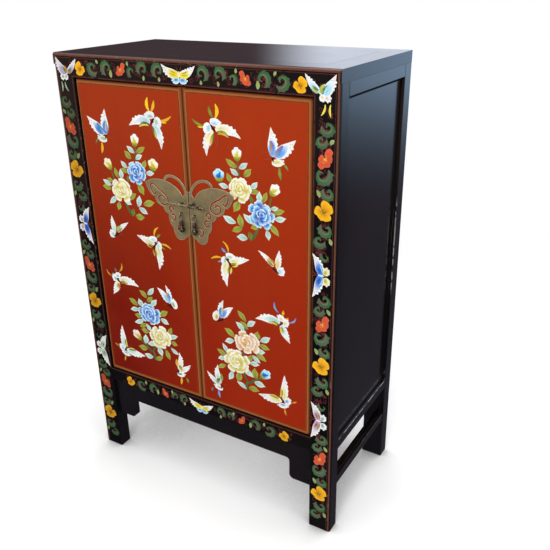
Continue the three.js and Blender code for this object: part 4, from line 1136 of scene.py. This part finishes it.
def scroll(painting, centre, radius, start, sweep, width, light=0.0):
    """An arc from start through sweep, both in degrees. light turns its colour to the pale green."""
    body = blended((SCROLL, SAGE), light * 0.6)
    width *= SCROLL_FATTER
    for share, size in SCROLL_WAVES:
        inner, outer = spiral(centre, radius + width * 0.34, start, sweep, share - 0.025, share + 0.025, 2)
        painting.line(inner, outer, width * size, "lobe", (body, SCROLL_GREEN), coat=1, ends=(0.8, 0.8))
    path = spiral(centre, radius, start, sweep, 0, 1, SCROLL_POINTS)
    painting.touch(path, width, SCROLL_WIDTHS, (SCROLL_GREY, body, SCROLL_GREEN, body), rim=FOREST,
                   rim_share=0.5, coat=2)
    for size, first, last, count, share, coat, colours in SCROLL_LINES:
        path = spiral(centre, radius * size, start, sweep, first, last, count)
        painting.touch(path, width * share, "line", colours, coat=2 + coat)


# A small flower's petal tips, their width, the ground, middle and rim of a petal, and the heart.
YELLOW_FLOWER = (((9, 27), (24, 11), (11, -22), (-13, -17), (-24, 4)), 22,
                 rgb(230, 144, 0), rgb(248, 176, 0), rgb(244, 192, 52), rgb(140, 100, 8))
RED_FLOWER = (((17, 25), (19, 3), (6, -17), (-16, -19), (-15, 6)), 17,
              rgb(206, 66, 34), rgb(218, 82, 46), rgb(196, 100, 74), rgb(240, 150, 66))
HEART_START, HEART_END, HEART_WIDTH = Vector((2.5, 1)), Vector((3.5, 2)), 7


def small_flower(painting, centre, kind, scale=1.0, mirrored=1):
    """Five broad petals round a heart."""
    petals, width, ground, middle, rim, heart = kind
    centre = Vector(centre)
    for index, (across, up) in enumerate(petals):
        tip = Vector((across * mirrored, up)) * scale
        painting.line(centre + tip * 0.12, centre + tip * 0.92, width * scale, "petal",
                      (heart, ground, middle, middle), 0.06, rim=rim, rim_share=0.85, coat=1 + index % 3,
                      ends=(0.2, 0.12))
    painting.line(centre - HEART_START * scale, centre + HEART_END * scale, HEART_WIDTH * scale, "lobe",
                  (heart, blended((heart, SUN), 0.4)), 0.1, coat=5)


print("border motifs ready")

# %% [markdown]
# Down each leg hang red and yellow flowers between scrolls, with a butterfly below each of the first
# two sets. A ground of thin maroon tendrils lies under them all.

# %% The drawing of the legs
RED_FLOWER_HEIGHTS = (1016, 625, 233)
LEG_BUTTERFLY_HEIGHTS = (751, 353)
DULL_MAROON = rgb(90, 40, 44)
BRIGHT_MAROON = rgb(150, 48, 58)
VIOLET = rgb(104, 98, 176)
BRIGHT_LEAF = (OLIVE, rgb(150, 160, 66), rgb(170, 176, 96))


def bright_leaf(painting, foot, across, up, width):
    tip = Vector(foot) + Vector((across, up))
    painting.line(foot, tip, width, "leaf", BRIGHT_LEAF, 0.08, rim=SAGE, rim_share=0.5, coat=3)


def maroon_sprig(painting, place, count=5, spread=14, width=1.4):
    """A loose knot of tendrils, each a curl with a bent stalk and a dot, thrown anew for every place."""
    chance = painting.random.uniform
    for _ in range(count):
        middle = Vector(place) + Vector((chance(-1, 1), chance(-1, 1))) * spread
        start, sweep = chance(0, 360), painting.random.choice((-1, 1)) * chance(200, 330)
        tint = blended((DULL_MAROON, MAROON, BRIGHT_MAROON), chance(0, 1))
        curl = spiral(middle, chance(2.6, 5.0), start, sweep, 0, 1, 6)
        painting.touch(curl, width, "line", (tint, DULL_MAROON))
        stalk = spiral(middle, chance(5, 8), start + sweep * 0.2, -sweep * 0.4, 0, 1, 5)
        painting.touch(stalk, width * 0.9, "line", (tint, DULL_MAROON))
        speck = middle + Vector((chance(-1, 1), chance(-1, 1))) * spread * 0.6
        painting.dot(speck, Vector((0.8, 0.6)), width * chance(1.2, 2.0), tint, 1)


def tendril_ground(painting, start, end, width):
    """Sprigs along a band from start to end, under everything else."""
    start, end = Vector(start), Vector(end)
    steps = round((end - start).length / TENDRIL_PITCH)
    for index in range(steps):
        maroon_sprig(painting, start.lerp(end, (index + 0.5) / steps), 3, 13, width)


def draw(painting, motifs, height=0):
    """Draws rows of a motif, its place from the centre line and from a height, and its own settings."""
    for motif, x, z, *shape in motifs:
        motif(painting, (x, z + height), *shape)


def rows_of(motif, *rows):
    return [(motif, *row) for row in rows]


# What hangs below one red flower, with what leads to the first one and on to the next.
LEG_SET = (
    (maroon_sprig, 362, 22), (small_flower, 367, 0, RED_FLOWER), (scroll, 362, -31, 17, 40, -260, 13, 0.15),
    (scroll, 375, -70, 12, 140, 290, 11), (bright_leaf, 348, -66, 8, -18, 9),
    (small_flower, 366, -114, YELLOW_FLOWER), (scroll, 372, -152, 14, 150, 260, 12, 0.1),
    (scroll, 358, -182, 12, 0, -270, 11), (bright_leaf, 380, -172, 6, -17, 9))
LEG_LEAD_IN = ((scroll, 371, 68, 13, 170, 290, 11), (scroll, 359, 40, 11, 20, -290, 10),
               (bright_leaf, 378, 32, 10, 12, 9))
LEG_LEAD_ON = ((maroon_sprig, 362, -207), (scroll, 371, -325, 13, 170, 290, 11),
               (scroll, 359, -353, 11, 20, -290, 10, 0.1), (bright_leaf, 377, -347, 10, -15, 9))
SLIM_SCROLLS = ((scroll, 373, 800, 12, 150, 190, 6.5), (scroll, 373, 399, 12, 150, 190, 6.5))
LEG_WINGS = dict(
    wings=((362, 1, 341, 49, 21, -0.07), (362, -2, 341, -57, 21, 0.05)),
    bands=((366, 6, 358, 24, 3, -0.1), (366, -7, 356, -28, 3, 0.1)),
    rims=((359, 5, 352, 22, 3, -0.05), (359, -6, 350, -24, 3, 0.05)),
    lobes=((374, 4, 377, 23, 18, 0.0), (375, -6, 378, -26, 19, 0.0)),
    body=((355, 0, 371, 0, 4, 0),),
    feelers=((354, 1, 340, 9, 1.2, 0.15), (354, -1, 339, -8, 1.2, -0.15)))
CORNER_WINGS = dict(
    wings=((353, 1155, 319, 1188, 15, 0.06), (364, 1149, 388, 1188, 22, -0.02)),
    bands=((352, 1151, 334, 1161, 3, 0.06), (356, 1149, 365, 1170, 5, 0.22)),
    rims=((351, 1156, 335, 1166, 4, 0.05), (360, 1148, 371, 1168, 3, 0.18)),
    lobes=((352, 1145, 365, 1138, 15, 0.0), (366, 1139, 380, 1142, 16, 0.05)),
    tails=((365, 1132, 355, 1106, 5, 0.14), (378, 1132, 379, 1104, 5, -0.10)),
    body=((351, 1153, 362, 1145, 3, 0),), feelers=((352, 1153, 356, 1172, 1.1, 0.1),))
CENTRE_WINGS = dict(
    wings=((-6, 1166, -52, 1188, 21, 0.11), (0, 1166, 42, 1188, 19, -0.11)),
    bands=((-9, 1170, -30, 1178, 1.5, 0.05), (4, 1170, 25, 1177, 1.5, -0.05)),
    rims=((-9, 1166, -30, 1171, 1, 0.08), (4, 1166, 26, 1170, 1, -0.08)),
    lobes=((-5, 1155, -25, 1154, 15, 0.05), (0, 1155, 22, 1155, 15, -0.05)),
    body=((-3, 1175, -3, 1156, 4, 0),),
    feelers=((-3, 1176, -9, 1188, 1.0, 0.2), (-2, 1176, 4, 1188, 1.0, -0.2)))
print("legs drawn")

# %% [markdown]
# The rails carry smaller forms of the same motifs. The two centre butterflies are one drawing, on the
# top rail and, a little smaller, on the bottom rail. On the left leg, and on the butterfly at its top
# corner, the paint is darkened as painted shade by a colour level below 1, and on the bottom rail the
# paint is a little darker too.

# %% Paint the border
RAIL_MOTIFS = (
    *rows_of(bright_leaf, (246, 1178, 6, 10, 7), (205, 1168, 0, -20, 10), (151, 1190, -1, -12, 7),
             (103, 1160, 1, -13, 7), (57, 1159, 0, -11, 7), (104, 274, 2, 13, 7), (60, 262, 0, -12, 7),
             (157, 273, 0, -19, 9), (202, 274, 1, 14, 7)),
    *rows_of(small_flower, (308, 1163, YELLOW_FLOWER, 0.72), (175, 1168, RED_FLOWER, 0.75, -1)),
    *rows_of(scroll, (263, 1168, 14, 215, 285, 11), (217, 1168, 15, 290, 250, 11),
             (139, 1165, 11, 285, 200, 8), (107, 1172, 13, 310, 280, 10), (60, 1171, 14, 290, 285, 10)))
BOTTOM_MOTIFS = (
    *rows_of(scroll, (60, 270, 12, 290, 285, 9), (93, 268, 10, 310, 270, 8), (170, 268, 14, 290, 250, 10),
             (216, 268, 14, 215, 285, 10)),
    *rows_of(small_flower, (130, 268, RED_FLOWER, 0.62), (262, 266, YELLOW_FLOWER, 0.66)))
TENDRIL_PITCH = 17
LEG_BAND = ((366, 40), (366, 1128))
RAIL_BANDS = (((24, 1168), (336, 1168)), ((24, 271), (284, 271)))
# Colour levels: below 1 on the left they are painted shade; on the bottom rail they only make the paint
# darker.
LEG_PAINTED_SHADE = {"right": 1.0, "left": 0.66}
WING_PAINTED_SHADE = {"right": 1.0, "left": 0.88}
TENDRIL_PAINTED_SHADE = {"right": 1.0, "left": 0.3}
BOTTOM_COLOUR_LEVEL = 0.84
BOTTOM_CENTRE = -903
BOTTOM_SIZE = 0.86


def resized(strokes, size, centre):
    """The same strokes about a centre, smaller or larger, with the same bows."""
    centre = Vector(centre)
    return tuple((*centre.lerp(Vector(each[:2]), size), *centre.lerp(Vector(each[2:4]), size),
                  each[4] * size, each[5]) for each in strokes)


BOTTOM_WINGS = {name: resized(strokes, BOTTOM_SIZE, (-5, 1168)) for name, strokes in CENTRE_WINGS.items()}
# The left half is painted this much further out, in millimetres.
BORDER_MIRROR = 3
BORDER_COLOURS = {
    "right": {"corner": wing_colours(rgb(170, 218, 236), rgb(186, 190, 60), rgb(90, 130, 50), PEACH,
                                     rgb(240, 224, 96), SUN, WHITE, outline=rgb(70, 120, 70), dot=DEEP_BLUE),
              "upper": wing_colours(rgb(40, 118, 216), rgb(150, 206, 236), DEEP_BLUE, rgb(176, 160, 60),
                                    body=WHITE, lobe=rgb(236, 230, 132), outline=DEEP_BLUE),
              "lower": wing_colours(rgb(190, 150, 170), OLIVE, rgb(170, 64, 64), OLIVE, body=WHITE,
                                    lobe=rgb(214, 224, 236), outline=rgb(120, 70, 90))},
    "left": {"corner": wing_colours(rgb(186, 176, 214), OCHRE, MOSS, OLIVE, SAGE, SAGE, WHITE,
                                    outline=MOSS, dot=VIOLET),
             "upper": wing_colours(rgb(14, 92, 188), VIOLET, DEEP_BLUE, OCHRE, body=WHITE,
                                   lobe=rgb(214, 224, 236), outline=DEEP_BLUE),
             "lower": wing_colours(rgb(190, 214, 196), OLIVE, MOSS, OLIVE, body=WHITE, outline=MOSS)},
}
CENTRE_COLOURS = wing_colours(rgb(234, 214, 40), rgb(176, 150, 20), rgb(196, 170, 40), rgb(64, 120, 200),
                              body=CREAM, outline=rgb(190, 166, 30), lobe=SKY, rib=rgb(190, 160, 30))
border = Painting("painted_border", FRONT_PLANE, 23)
for half, side, shift in (("right", 1, 0), ("left", -1, -BORDER_MIRROR)):
    border.mirror(side, shift)
    colours = BORDER_COLOURS[half]
    border.colour_level = TENDRIL_PAINTED_SHADE[half]
    tendril_ground(border, *LEG_BAND, 1.4)
    border.colour_level = 1.0
    for band in RAIL_BANDS:
        tendril_ground(border, *band, 1.2)
    border.colour_level = LEG_PAINTED_SHADE[half]
    draw(border, LEG_LEAD_IN, RED_FLOWER_HEIGHTS[0])
    for height in RED_FLOWER_HEIGHTS[:-1]:
        draw(border, LEG_SET + LEG_LEAD_ON, height)
    draw(border, LEG_SET, RED_FLOWER_HEIGHTS[-1])
    draw(border, SLIM_SCROLLS)
    border.colour_level = WING_PAINTED_SHADE[half]
    for height, name in zip(LEG_BUTTERFLY_HEIGHTS, ("upper", "lower")):
        butterfly(border, colours[name], move=(0, height), kind="broad wing", **LEG_WINGS)
    butterfly(border, colours["corner"], kind="broad wing", **CORNER_WINGS)
    border.colour_level = 1.0
    draw(border, RAIL_MOTIFS)
    border.colour_level = BOTTOM_COLOUR_LEVEL
    draw(border, BOTTOM_MOTIFS)
border.mirror(1, 0)
border.colour_level = 1.0
butterfly(border, CENTRE_COLOURS, kind="broad wing", **CENTRE_WINGS)
butterfly(border, CENTRE_COLOURS, move=(0, BOTTOM_CENTRE), kind="broad wing", **BOTTOM_WINGS)
border.hang("carcass", "painted_frame", paint)
